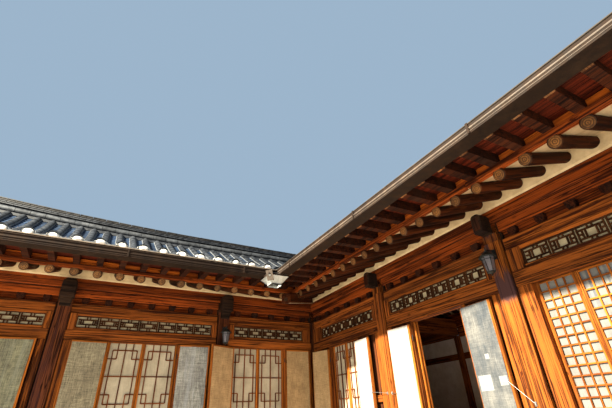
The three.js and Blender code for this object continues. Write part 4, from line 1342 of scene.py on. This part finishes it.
for side, wing in wings.items():
    for k in (1, 2, 3):
        if wing["openings"][k - 1][0] != "grid":
            makeLeaf(side, wing, k, 0)
            makeLeaf(side, wing, k, 1)


# Iron hooks that run from a column to the free edges of the leaves beside it
hooks = {
    "radius": 0.0034,
    "seat": -0.009,
    "out": -0.064,
    "runs": (
        ((-2.31, 1.765), (-1.99, 1.80)),
        ((-2.42, 1.76), (-2.60, 1.74)),
        ((-4.70, 1.50), (-4.49, 1.74)),
    ),
}


def makeHooks():
    shape = Shape("hooks")
    radius = hooks["radius"]
    for (seat, low), (tip, high) in hooks["runs"]:
        start, end = Vector((seat, hooks["seat"], low)), Vector((tip, hooks["out"], high))
        shape.stick(start, end, [(0, radius), ((end - start).length, radius)], 8)
        shape.stick(end, end + Vector((0, 0.012, -0.02)), [(0, radius), (0.023, radius * 0.7)], 8)
        shape.block((seat - 0.012, seat + 0.012), (-0.006, 0.0), (low - 0.025, low + 0.02), 2, 0.002)
        rise = Vector((0, 0, 0.012))
        shape.stick(start - rise, start + rise, [(0, 0.009), (0.024, 0.009)], 8)
    makePiece(shape, "leaf_hooks", [steel], "right")


makeHooks()
print("leaves made")


# Roof tiles: rows of round tiles over courses of hollow ones, on a bed of clay

tiles = {"start": -5.396, "pitch": 0.302, "radius": 0.074, "length": 0.29, "lip": 0.008, "course": 0.145,
         "hollow": 0.046, "hollowTop": 0.052, "step": 0.016, "sides": 8, "bedDrop": 0.112,
         "foot": ((-0.006, 0), (0.013, 0), (0.003, 0.02)),
         "rim": ((-0.006, -0.022), (-0.006, 0.003), (0.012, 0.003))}


# The lean of the slope at u, a distance t from the front of the house.
def slopeLean(line, t, u):
    return math.atan2(tileTop(line, t + 0.01, u) - tileTop(line, t - 0.01, u), 0.02)


# A place across from u, and up square to the slope at t.
def onSlope(line, u, t, across, up):
    lean = slopeLean(line, t, u)
    return (u + across, t - up * math.sin(lean), tileTop(line, t, u) + up * math.cos(lean))


# The rings at the stops of a row: two where a tile laps the next, and one at each end of it.
def lapped(stops, lip):
    last = len(stops) - 1
    return [(t, (0,) if i == last else (lip,) if i == 0 else (0, lip)) for i, t in enumerate(stops)]


def tileRows(wing, stop):
    first = math.ceil((roofStart(wing) + 0.06 - tiles["start"]) / tiles["pitch"])
    last = math.ceil((stop - tiles["start"]) / tiles["pitch"])
    return [tiles["start"] + k * tiles["pitch"] for k in range(first, last)]


def rowSteps(t0, t1, length):
    return spread(t0, t1, max(1, round((t1 - t0) / length)))


def addRoundRow(shape, line, u, t0, t1, toPlace):
    rings = []
    radius = tiles["radius"]
    for t, lips in lapped(rowSteps(t0, t1, tiles["length"]), tiles["lip"]):
        wobble = shape.chance.uniform(-0.003, 0.003)
        for lip in lips:
            r = radius + lip
            ring = [onSlope(line, u, t, r * c + wobble, r * s - radius) for c, s in arc(0, 1, tiles["sides"])]
            rings.append([toPlace(*place) for place in ring])
    shape.skin(rings)
    for s in (-1, 1):
        foot = [(s * (radius + out), up - radius) for out, up in tiles["foot"]]
        stops = spread(t0 + 0.004, t1, 6)
        shape.skin([[toPlace(u + a, t, tileTop(line, t, u) + b) for a, b in foot] for t in stops], 2)


def addHollowRow(shape, line, u, t0, t1, toPlace):
    reach = tiles["pitch"] / 2 - 0.035
    rings = []

    def bowl(rise):
        return [(s, rise - tiles["hollowTop"] - tiles["hollow"] * (1 - s * s)) for s in spread(-1, 1, 6)]

    for t, rises in lapped(rowSteps(t0, t1, tiles["course"]), tiles["step"]):
        for rise in rises:
            ring = bowl(rise) + [(s, down - 0.018) for s, down in bowl(rise)[::-1]]
            rings.append([toPlace(*onSlope(line, u, t, -reach * s, down)) for s, down in ring])
    shape.skin(rings, 1)
    rim = []
    for s, down in bowl(tiles["step"]):
        low = tileTop(line, t0, u) + down
        rim.append([toPlace(u - reach * s, t0 + a, low + b) for a, b in tiles["rim"]])
    shape.skin(rim, 2)


# The lime plug that closes a round row at the eave: a low lens that droops over its edges.
def addLimePlug(shape, line, u, t, toPlace):
    lean, base = slopeLean(line, t, u), tileTop(line, t, u)
    sin, cos, radius = math.sin(lean), math.cos(lean), tiles["radius"]
    draw = shape.chance.uniform
    wide, high, droop, tilt = draw(0.088, 0.1), draw(0.055, 0.064), draw(0.016, 0.028), draw(-0.1, 0.1)
    rings = []
    for out, size in ((0.03, 0.8), (-0.004, 0.98), (-0.026, 0.9), (-0.042, 0.6)):
        ring = [(wide * size * c, high * size * s) for c, s in arc(0, 1, 9)]
        ring += [(-wide * size * c, -droop * size * s) for c, s in arc(0, 1, 6)[1:-1]]
        rings.append([
            toPlace(
                u + a,
                t + out - (b - radius) * sin,
                base + (b + tilt * a - radius) * cos + out * sin / cos,
            )
            for a, b in ring
        ])
    shape.skin(rings)


def makeTiles(side, wing):
    slopes = {
        "front": (wing["frontTiles"], lambda u, t, z: (u, t, z)),
        "back": (backTiles, lambda u, t, z: (u, houseBack - t, z)),
    }
    ridge = ridgeLine - 0.13
    for slope, (line, toPlace) in slopes.items():
        front = slope == "front"
        shape, plugs = Shape("tiles" + side + slope), Shape("plugs" + side + slope)
        for u in tileRows(wing, ridge if front else houseBack + 1.0):
            for v, inset, add in ((u, 0.02, addRoundRow), (u + tiles["pitch"] / 2, 0.03, addHollowRow)):
                near = max(line["edge"], v + 0.1) if front else line["edge"]
                far = ridge if front else min(ridge, houseBack - v - 0.09)
                if far - near > 0.12:
                    add(shape, line, v, near + inset, far, toPlace)
                    if v == u and near == line["edge"]:
                        addLimePlug(plugs, line, v, near + 0.05, toPlace)
        node = [f"roof_tiles_{side}"]
        looks = [tileClay, hollowClayPaintedSky, paleEdgeStrip]
        makePiece(shape, f"tiles_{side}_{slope}", looks, side, replaces=node, smooth=40)
        name = f"lime_plugs_{side}_{slope}"
        makePiece(plugs, name, [limeWhite], side, replaces=node, smooth=60)
    makeBed(side, wing)


# The clay bed under the tiles of both slopes, cut along the diagonal of the corner.
def makeBed(side, wing):
    shape = Shape("bed" + side)
    front = wing["frontTiles"]

    def section(u):
        lower = [(v, flyingTop(v) + 0.001) for v in (front["edge"] + 0.015, flying["boardEnd"])]
        lower += [(v, deckTop(v) + 0.001) for v in (0.2, roof["knee"], ridgeLine)]
        lower += [(houseBack - v, deckTop(v) + 0.001) for v in (roof["knee"], 0.2, -0.995)]
        upper = []
        for v, z in lower:
            t = min(v, houseBack - v, tilesMeet)
            line = front if v <= ridgeLine else backTiles
            upper.append((v, max(z + 0.012, tileTop(line, t, u) - tiles["bedDrop"])))
        return lower + upper[::-1]

    rings = [[(u, v, z) for v, z in section(u)] for u in spread(roofStart(wing), roof["sweepStart"], 5)]
    rings.append([(v, v, z) for v, z in section(0)])
    shape.skin(rings)
    node = f"roof_tiles_{side}"
    makePiece(shape, f"roof_bed_{side}", [bedClay], side, replaces=[node], smooth=20)


# Hollow tiles down the valley of the inner corner.
def makeValleyTiles():
    shape = Shape("valleyTiles")
    line = wings["left"]["frontTiles"]
    reach = 0.2 / diagonal
    rings = []
    for i, t in enumerate(rowSteps(-1.56, ridgeLine - 0.2, 0.16)):
        top = tileTop(line, t)
        for rise in ((0.014,) if i == 0 else (0, 0.014)):
            ring = [(q, top - 0.1 + 0.05 * q * q + rise) for q in spread(-1, 1, 6)]
            ring += [(q, top - 0.16) for q in (1, -1)]
            rings.append([(t + reach * q, t - reach * q, z) for q, z in ring])
    shape.skin(rings)
    makePiece(shape, "tiles_valley", [tileClay])


for side, wing in wings.items():
    makeTiles(side, wing)
makeValleyTiles()
print("tiles made")


# Ridges: a round course along each side, thin courses with broken joints over it and a low round top

ridgeShape = {"wide": 0.30, "tube": 0.064, "thin": 0.046, "groove": 0.023, "length": 0.31, "short": 0.3}


# Bars in a row along a path that turns [along, across, up] into a place.
def addCourse(shape, path, stops, outline, jitter, look=0, joint=0.009):
    for near, far in zip(stops, stops[1:]):
        across, up = shape.chance.uniform(-jitter, jitter), shape.chance.uniform(-jitter, jitter) * 0.5
        moved = [(a + across, b + up) for a, b in outline]
        shape.skin([[path(s, a, b) for a, b in moved] for s in (near, far - joint)], look)


def brokenJoints(length, step, shift):
    count = max(2, round(length / step))
    return [0] + [length * (k + shift) / count for k in range(1, count)] + [length]


def addRidge(shape, path, length, height):
    wide, tube, thin, groove = (ridgeShape[k] for k in ("wide", "tube", "thin", "groove"))
    box = lambda w, z0, z1: [(w, z0), (w, z1), (-w, z1), (-w, z0)]
    joints = spread(0, length, round(length / ridgeShape["length"]))
    core = box(wide / 2 - 0.05, -0.06, height - 0.04)
    addCourse(shape, path, spread(0, length, round(length / 1.2)), core, 0, 0, 0.0)
    for side in (-1, 1):
        middle = side * (wide / 2 - tube)
        outline = [(middle + tube * c, 0.012 + tube + tube * s) for c, s in arc(0, 2, 12)[:-1]]
        addCourse(shape, path, joints, outline, 0.002, 2)
    low, high = 0.016 + 2 * tube, height - 0.018
    count = round((high - low) / thin)
    for i in range(count):
        z = low + (high - low) * i / count
        wide -= 0.004
        stops = brokenJoints(length, ridgeShape["short"], 0.5 if i % 2 else 0)
        addCourse(shape, path, stops, box(wide / 2, z + groove, z + thin), 0.003, 0 if i < count - 2 else 3)
    cap = [(0.07 * c, height - 0.045 + 0.045 * s) for c, s in arc(0, 1, 8)]
    addCourse(shape, path, joints, cap, 0.002, 3)


def makeRidges():
    looks = [tileClay, limePlaster, ridgeClay, brownClay]
    for side, wing in wings.items():
        end = wing["centres"][3] - roof["gableReach"] + 0.005
        path = lambda s, a, b: (end + s, ridgeLine + a, roof["ridgeSeat"] + lift(end + s) + b)
        shape = Shape("ridge" + side)
        addRidge(shape, path, ridgeLine - end, roof["ridgeTop"] - roof["ridgeSeat"] - 0.004)
        addRidgeEnd(shape, end)
        makePiece(shape, f"ridge_{side}", looks, side, replaces=["roof_ridge"], smooth=40)
    hip = Shape("hip")
    start = ridgeLine + 0.06

    def path(distance, a, b):
        v, side = start + distance / diagonal, a / diagonal
        return (v - side, v + side, tileTop(backTiles, min(houseBack - v, tilesMeet)) + b)

    addRidge(hip, path, (houseBack + 0.99 - start) * diagonal, 0.248)
    makePiece(hip, "ridge_hip", looks, replaces=["roof_ridge"], smooth=40)


# The end of a ridge over its gable: a lime face with an upright round tile before it.
def addRidgeEnd(shape, end):
    z = roof["ridgeSeat"] + lift(end)
    height = roof["ridgeTop"] - roof["ridgeSeat"]
    face = (ridgeLine - 0.15, ridgeLine + 0.15)
    shape.block((end, end + 0.04), face, (z - 0.04, z + height * 0.9), 2, 0.01, look=1)
    outline = [(ridgeLine + 0.13 * c, z + height * 0.5 + 0.15 * s) for c, s in arc(0, 2, 16)[:-1]]
    shape.prism(outline, (end, end + 0.055))


makeRidges()
print("ridges made")


# Gutter of folded sheet under both eaves, with straps, and the funnel in its corner

gutterShape = {"back": -1.49, "front": -1.67, "bottom": 3.66, "top": 3.775, "seat": 3.798, "sheet": 0.008,
               "strapEvery": 0.92,
               "beads": ((0.005, 0.018, 0.027, 1), (0.008, 0.046, 0.066, 1), (0.01, 0.098, 0.115, 2))}
hopper = {"centre": -1.69, "top": 3.659, "bottom": 3.49, "wide": 0.19, "narrow": 0.10, "sheet": 0.004}


# A half round bead on the gutter's face, from z0 up to z1.
def faceBead(face, out, z0, z1):
    middle, radius = (z0 + z1) / 2, (z1 - z0) / 2
    return [(face - out * c, middle + radius * s) for c, s in arc(-0.5, 0.5, 6)]


def gutterProfile():
    back, face, low, high = (gutterShape[k] for k in ("back", "front", "bottom", "top"))
    t, seat = gutterShape["sheet"], gutterShape["seat"]
    outside = [(back + 0.01, seat), (back + 0.01, low), (face, low), (face, high)]
    return outside + [(face + t, high), (face + t, low + t), (back, low + t), (back, seat)]


def makeGutter():
    shape = Shape("gutter")
    back, front, bottom = (gutterShape[k] for k in ("back", "front", "bottom"))
    every = gutterShape["strapEvery"]
    box = lambda v0, v1, z0, z1: [(v0, z1), (v1, z1), (v1, z0), (v0, z0)]
    for side, wing in wings.items():
        start = wing["centres"][3] - roof["gableReach"]

        # A bar along the eave from near to far, or into the corner's mitre.
        def fold(outline, near, far=None, look=0):
            rings = [[(near, v, z) for v, z in outline]]
            rings.append([(v if far is None else far, v, z) for v, z in outline])
            shape.skin([[swapped(p) for p in ring] for ring in rings] if side == "right" else rings, look)

        fold(gutterProfile(), start + 0.002)
        # On the right wing the beads take lighter paints: painted sunlight on that gutter. The left wing's
        # beads keep the gutter paint.
        for out, z0, z1, look in gutterShape["beads"]:
            bead = faceBead(front, out, bottom + z0, bottom + z1)
            fold(bead, start + 0.003, None, look if side == "right" else 0)
        for i in range(int(abs(start + 1.9) / every)):
            u = -2.25 - every * i
            fold(box(back - 0.002, front + 0.008, 3.769, 3.7735), u - 0.011, u + 0.011)
            if i % 2 == 0:
                fold(box(front - 0.003, front - 0.013, 3.661, 3.777), u - 0.012, u + 0.012)
    looks = [gutterPaint, wornAndSunlitPaint, sunlitRimPaint]
    makePiece(shape, "gutter_sheet", looks, replaces=["gutter"], smooth=30)


def squareRing(reach, z, corner=0.012):
    ring = []
    for a, b in ((1, -1), (1, 1), (-1, 1), (-1, -1)):
        ends = [(a * reach, b * (reach - corner)), (a * (reach - corner), b * reach)]
        for x, y in (ends if a * b > 0 else ends[::-1]):
            ring.append((hopper["centre"] + x, hopper["centre"] + y, z))
    return ring


def makeHopper():
    shape = Shape("hopper")
    wide, narrow, sheet = hopper["wide"], hopper["narrow"], hopper["sheet"]
    low, high, centre = hopper["bottom"], hopper["top"], hopper["centre"]
    throat, brim = low + 0.03, high - 0.04
    outer = [(narrow, low), (narrow, throat), (wide - 0.008, brim)]
    outer += [(wide - 0.002, high - 0.036), (wide - 0.002, high)]
    inner = [(wide - 0.002 - sheet, high), (wide - 0.008 - sheet, brim)]
    inner += [(narrow - sheet, throat), (narrow - sheet, low)]
    shape.loop([squareRing(reach, z) for reach, z in outer + inner])
    # The foot rim's dark paint is partly painted shade at the funnel's mouth.
    foot, brow = (low - 0.004, low + 0.012, narrow + 0.003), (high - 0.036, high - 0.003, wide + 0.001)
    for z0, z1, reach in (foot, brow):
        rim = ((reach, z0), (reach, z1), (reach - 0.006, z1), (reach - 0.006, z0))
        shape.loop([squareRing(a, z) for a, z in rim], 1)
    strap = ((-1.672 - centre, 3.777), (-wide - 0.006, 3.69), (-narrow - 0.03, 3.535))
    corners = ((-0.004, -0.058), (-0.004, 0.058), (0.0, 0.058), (0.0, -0.058))
    shape.skin([
        [(centre + reach + (a + b) / diagonal, centre + reach + (a - b) / diagonal, z) for a, b in corners]
        for reach, z in strap
    ], 3)
    looks = [zinc, gutterPaint, sunlitRimPaint, wornAndSunlitPaint]
    makePiece(shape, "hopper_sheet", looks, replaces=["gutter_hopper"], smooth=30)


makeGutter()
makeHopper()
print("gutter made")


# Gables: bargeboards, and walls of posts with plaster between them

gable = {"inset": 0.06, "panel": 0.05, "sill": 0.62, "rail": 0.9, "rows": ((1.06, 2.72), (2.88, 3.30))}


def boardLow(v):
    return max(3.66, min(rafterAxis(v) - logDrop, deckBottom(v) - 0.13) - 0.06)


def makeBargeboard(side, wing):
    shape = Shape("barge" + side)
    end = wing["centres"][3] - roof["gableReach"]
    starts = {"front": (wing["frontTiles"], roof["flyingEnd"] + 0.01), "back": (backTiles, backTiles["edge"])}
    for slope, (line, foot) in starts.items():
        place = (lambda v: v) if slope == "front" else (lambda v: houseBack - v)
        stops = spread(foot, ridgeLine, 14)
        top = [(place(v), tileTop(line, min(v, tilesMeet), end) - gable["inset"]) for v in stops]
        low = [(place(v), boardLow(v)) for v in stops]
        shape.prism(top + low[::-1], (end + 0.006, end + 0.038))
        for edge, high, deep in ((top, -0.004, -0.05), (low, 0.038, 0.004)):
            bead = [(v, z + high) for v, z in edge] + [(v, z + deep) for v, z in edge[::-1]]
            shape.prism(bead, (end + 0.001, end + 0.006))
    makePiece(shape, f"bargeboards_{side}", [pine], side, replaces=[f"bargeboard_{side}"])


def wallTop(v):
    t = min(v, houseBack - v)
    return (rafterAxis(t) - logDrop - 0.002) if t < roof["knee"] else (deckBottom(t) - 0.002)


# The rails of a wall lie below, between and above its rows of plaster.
def wallRails(top):
    (low0, low1), (high0, high1) = gable["rows"]
    return (levels["platform"], gable["sill"]), (gable["rail"], low0), (low1, high0), (high1, top)


def makeGable(side, wing):
    shape = Shape("gable" + side)
    end = wing["centres"][3] - half
    face, back = end + 0.015, end + 0.07
    foot, beam, knee = levels["platform"], levels["beam"], roof["knee"]
    line = [(v, wallTop(v)) for v in (column, (column + knee) / 2, knee - 0.001, knee, ridgeLine)]
    line += [(houseBack - v, z) for v, z in line[::-1]][1:]
    slab = [(column + 0.001, foot)] + line + [(houseBack - column - 0.001, foot)]
    shape.prism(slab, (end + gable["panel"], end + 0.208), look=1)
    for v in (1.7, ridgeLine, houseBack - 1.7):
        shape.block((face, back), (v - half, v + half), (foot, beam), 2, 0.006)
    for z0, z1 in wallRails(3.46):
        run = (column + 0.002, houseBack - column - 0.002)
        shape.block((face + 0.004, back), run, (z0 + 0.002, z1), 1, 0.006)
    node = f"wall_{side}_gable"
    makePiece(shape, f"gable_wall_{side}", [pine, limePlaster], side, replaces=[node])


for side, wing in wings.items():
    makeBargeboard(side, wing)
    makeGable(side, wing)
print("gables made")


# Back walls: posts and rails, plaster panels, and the casing of a wide window

backShape = {"inside": 4.802, "casing": 0.06, "panelBack": 0.05}


def makeBackWall(side, wing):
    shape = Shape("back" + side)
    inner, outer = backShape["inside"], houseBack
    stop = houseBack if side == "left" else houseBack - column
    posts = sorted(c for c in (*wing["centres"], ridgeLine, houseBack - half) if c + half <= stop + 0.01)
    (w0, w1), (z0, z1), case = wing["backWindow"], levels["backWindow"], backShape["casing"]
    hole = (w0 - case, w1 + case), (z0 - case, z1 + case)
    for c in posts:
        height = (levels["platform"], levels["beam"])
        shape.block((c - half, c + half), (inner, outer - 0.002), height, 2, 0.008)
    bays = [(a + half, b - half) for a, b in zip(posts, posts[1:])] + [(posts[-1] + half, stop)]
    for x0, x1 in bays:
        if x1 - x0 < 0.1:
            continue
        for z in wallRails(levels["purlin"] - 0.002):
            shape.block((x0, x1), (inner + 0.01, outer - 0.008), z, 0, 0.006)
        for z in ((gable["sill"], gable["rail"]), *gable["rows"]):
            for c0, c1, *height in holeParts((x0, x1), z, *hole):
                shape.block((c0, c1), (inner + 0.03, outer - backShape["panelBack"]), height, 0, 0, look=1)
    y = (inner + 0.02, outer - 0.022)
    for x in ((w0 - case, w0), (w1, w1 + case)):
        shape.block(x, y, (z0 - case, z1 + case), 2, 0.005)
    for z in ((z0 - case, z0), (z1, z1 + case)):
        shape.block((w0, w1), y, z, 0, 0.005)
    node = f"wall_{side}_back"
    makePiece(shape, f"back_wall_{side}", [pine, limePlaster], side, replaces=[node])


# The parts of a panel that a hole leaves: left, right, below and above it.
def holeParts(x, z, holeX, holeZ):
    if holeX[0] >= x[1] or holeX[1] <= x[0] or holeZ[0] >= z[1] or holeZ[1] <= z[0]:
        return [(*x, *z)]
    a, b = max(x[0], holeX[0]), min(x[1], holeX[1])
    c, d = max(z[0], holeZ[0]), min(z[1], holeZ[1])
    parts = [(x[0], a, *z), (b, x[1], *z), (a, b, z[0], c), (a, b, d, z[1])]
    return [p for p in parts if p[1] - p[0] > 0.01 and p[3] - p[2] > 0.01]


for side, wing in wings.items():
    makeBackWall(side, wing)
print("back walls made")


# Floor, platform of granite blocks and the base stones

ground = {"reach": 0.70, "end": 0.59, "back": 0.60, "block": 1.05, "course": 0.24, "cap": 0.34,
          "step": ((-1.079, -0.701), (-4.149, -2.951), (0, 0.26))}


def makeFloor():
    shape = Shape("floor")
    low, high, skin = levels["platform"] + 0.001, levels["floor"], levels["floor"] - 0.012
    near, far = column + 0.002, houseBack - column - 0.002
    ends = {side: wing["centres"][3] - half + near for side, wing in wings.items()}
    for x, y in (((ends["left"], far), (near, far)), ((near, far), (ends["right"], near))):
        shape.block(x, y, (low, skin), 0, 0.002, look=1)
        shape.block(x, y, (skin, high), 0, 0.002, look=0)
    makePiece(shape, "floor_sheets", [floorPaper, mortar], replaces=["floor"])


def addCourses(shape, x, y, along):
    start, stop = (x, y)[along]
    count = max(1, round((stop - start) / ground["block"]))
    for r, (z0, z1) in enumerate(((0.0, ground["course"]), (ground["course"], levels["platform"]))):
        cuts = [start]
        for i in range(1, count):
            place = start + (stop - start) * (i + (0.35 if r else 0.0)) / count
            cuts.append(place + shape.chance.uniform(-0.07, 0.07))
        cuts.append(stop)
        for a, b in zip(cuts, cuts[1:]):
            box = [x, y]
            box[along] = (a + 0.003, b - 0.003)
            shape.block(*box, (z0 + (0.004 if r else 0), z1 - 0.001), along, 0.012)


def makePlatform():
    shape = Shape("platform")
    front, cap = -ground["reach"], ground["cap"]
    left, right = (wings[side]["centres"][3] - half - ground["end"] for side in ("left", "right"))
    back = houseBack + ground["back"]
    addCourses(shape, (left, front + cap), (front, front + cap), 0)
    addCourses(shape, (front, front + cap), (right, front), 1)
    addCourses(shape, (front + cap, back), (right, right + cap), 0)
    addCourses(shape, (back - cap, back), (right + cap, back - cap), 1)
    addCourses(shape, (left, back), (back - cap, back), 0)
    addCourses(shape, (left, left + cap), (front + cap, back - cap), 1)
    earth = (0.005, levels["platform"] - 0.012)
    shape.block((left + cap, back - cap), (front + cap, back - cap), earth, 0, 0, look=1)
    shape.block((front + cap, back - cap), (right + cap, front + cap), earth, 0, 0, look=1)
    shape.block(*ground["step"], 1, 0.022)
    stone = (0.441, levels["baseStone"])
    shape.block((-0.045, column), (-0.045, column), stone, 2, 0.016)
    for side, wing in wings.items():
        for c in wing["centres"][1:]:
            box = (c - 0.15, c + 0.15), (-0.045, column)
            shape.block(*(box if side == "left" else box[::-1]), stone, 2, 0.016)
    makePiece(shape, "platform_blocks", [granite, mortar], replaces=["stone_platform"])


makeFloor()
makePlatform()
print("ground made")


# Wall lanterns: a plate and an arm, and a tapered glazed body with a domed cap

# Profiles are [radius, height] steps, and the arm runs in [out from the wall, height] steps.
lanternShape = {
    "left": (wings["left"]["centres"][1], 2.95),
    "right": (wings["right"]["centres"][2], 3.09),
    "out": 0.17,
    "size": 0.84,
    "panes": 6,
    "body": ((0.058, -0.186), (0.088, 0.038)),
    "glazing": ((0.0545, -0.184), (0.0845, 0.036)),
    "finial": ((0.004, -0.248), (0.014, -0.243), (0.009, -0.228), (0.03, -0.214), (0.052, -0.202),
               (0.062, -0.196), (0.062, -0.186), (0.05, -0.182)),
    "cap": ((0.088, 0.036), (0.122, 0.03), (0.124, 0.038), (0.1, 0.054), (0.088, 0.072), (0.066, 0.096),
            (0.04, 0.112), (0.03, 0.12), (0.032, 0.13), (0.016, 0.138), (0.01, 0.152), (0.015, 0.166),
            (0.009, 0.182), (0.003, 0.2)),
    "candle": ((0, 0.012), (0.06, 0.012), (0.062, 0.008), (0.125, 0.008)),
    "plate": [(0.018, 0.03), (0.024, 0.04), (0.024, 0.15), (0.018, 0.16), (-0.018, 0.16), (-0.024, 0.15),
              (-0.024, 0.04), (-0.018, 0.03)],
    "arm": ((-0.012, 0.1), (-0.03, 0.125), (-0.07, 0.137), (-0.12, 0.136), (-0.158, 0.13)),
}


def lathe(shape, profile, sides, look, place):
    turns = arc(1 / sides, 2 + 1 / sides, sides)[:-1]
    shape.skin([[place(r * c, r * s, z) for c, s in turns] for r, z in profile], look)


def makeLantern(side):
    shape = Shape("lantern")
    u, height = lanternShape[side]
    out, size, panes = (lanternShape[k] for k in ("out", "size", "panes"))
    place = lambda x, y, z: (u + x * size, -out + y * size, height + z * size)
    for profile in ("finial", "cap"):
        lathe(shape, lanternShape[profile], 24, 0, place)
    low, high = lanternShape["body"]
    turns = arc(1 / panes, 2 + 1 / panes, panes)
    r, z = (near + (far - near) * 0.82 for near, far in zip(low, high))
    for (c, s), (nextC, nextS) in zip(turns, turns[1:]):
        foot, head = (Vector((radius * c, radius * s, level)) for radius, level in (low, high))
        shape.stick(place(*foot), place(*head), [(0, 0.004), ((head - foot).length, 0.004)], 6)
        ends = [Vector(place(r * a, r * b, z)) for a, b in ((c, s), (nextC, nextS))]
        shape.stick(*ends, [(0, 0.003), ((ends[1] - ends[0]).length, 0.003)], 6)
    shape.stick(place(0, 0, -0.185), place(0, 0, -0.06), lanternShape["candle"], 12, 2)
    shape.prism([(u + x, height + z) for x, z in lanternShape["plate"]], (-0.013, -0.001), along=1)
    for a, b in zip(lanternShape["arm"], lanternShape["arm"][1:]):
        p, q = (Vector((u, y, height + z)) for y, z in (a, b))
        shape.stick(p, q, [(0, 0.008), ((q - p).length + 0.003, 0.008)], 10)
    looks, node = [iron, glass, limeWhite], f"lantern_{side}"
    makePiece(shape, f"lantern_{side}_iron", looks, side, replaces=[node], smooth=35)
    glazing = Shape("glass")
    lathe(glazing, lanternShape["glazing"], panes, 0, place)
    makePiece(glazing, f"lantern_{side}_glass", [glass], side, smooth=10)


for side in wings:
    makeLantern(side)
print("lanterns made")


# Camera, light and floor

view = {"place": (-4.324, -7.457, 1.45), "yaw": 30.12, "pitch": 30.175, "roll": -2.644, "lens": 21.81}


def placeCamera():
    yaw, pitch, roll = (math.radians(view[k]) for k in ("yaw", "pitch", "roll"))
    forward = Vector((math.sin(yaw) * math.cos(pitch), math.cos(yaw) * math.cos(pitch), math.sin(pitch)))
    right = Vector((math.cos(yaw), -math.sin(yaw), 0))
    up = right.cross(forward)
    across = right * math.cos(roll) + up * math.sin(roll)
    above = up * math.cos(roll) - right * math.sin(roll)
    turn = Matrix((across, above, -forward)).transposed().to_4x4()
    camera = bpy.data.cameras.new("camera")
    camera.lens = view["lens"]
    camera.sensor_width = 36
    camera.clip_end = 200
    made = bpy.data.objects.new("camera", camera)
    made.matrix_world = Matrix.Translation(view["place"]) @ turn
    bpy.context.scene.collection.objects.link(made)
    bpy.context.scene.camera = made


stage = {"reach": 40, "low": -0.001, "light": (0.43, 0.41, 0.385), "dark": (0.4, 0.38, 0.36)}
lights = {
    "world": ((0.56, 0.77, 1.0), 0.6),
    "yard": {"place": (-9.5, -9.5, 9), "aim": (-1.0, -1.0, 2.5), "size": 9, "power": 460,
             "colour": (1.0, 0.9, 0.78)},
    "west": {"place": (-14, -4.6, 11.35), "aim": (0, -3.5, 2.4), "size": 0.45, "power": 19000,
             "colour": (1.0, 0.92, 0.72)},
    "hall": {"place": (2.2, -3.4, 1.3), "aim": (2.2, -3.4, 3.4), "size": 1.6, "power": 48,
             "colour": (1.0, 0.84, 0.86)},
}


def addLight(name):
    given = lights[name]
    lamp = bpy.data.lights.new(name, "AREA")
    lamp.shape = "DISK"
    lamp.size = given["size"]
    lamp.energy = given["power"]
    lamp.color = given["colour"]
    made = bpy.data.objects.new(name, lamp)
    made.location = given["place"]
    made.rotation_euler = (Vector(given["aim"]) - Vector(given["place"])).to_track_quat("-Z", "Y").to_euler()
    bpy.context.scene.collection.objects.link(made)


def makeStage():
    scene = bpy.context.scene
    scene.view_settings.view_transform = "Standard"
    world = bpy.data.worlds.new("world")
    world.use_nodes = True
    colour, strength = lights["world"]
    sky = world.node_tree.nodes["Background"].inputs
    sky["Color"].default_value = (*colour, 1)
    sky["Strength"].default_value = strength
    scene.world = world
    mesh = bpy.data.meshes.new("pale_floor")
    reach, low = stage["reach"], stage["low"]
    corners = [(-reach, -reach, low), (reach, -reach, low), (reach, reach, low), (-reach, reach, low)]
    mesh.from_pydata(corners, [], [(0, 1, 2, 3)])
    mesh.materials.append(makePlaster("paleFloor", stage["light"], stage["dark"]))
    floor = bpy.data.objects.new("pale_floor", mesh)
    scene.collection.objects.link(floor)


placeCamera()
makeStage()
for name in ("yard", "west", "hall"):
    addLight(name)
print("stage made")
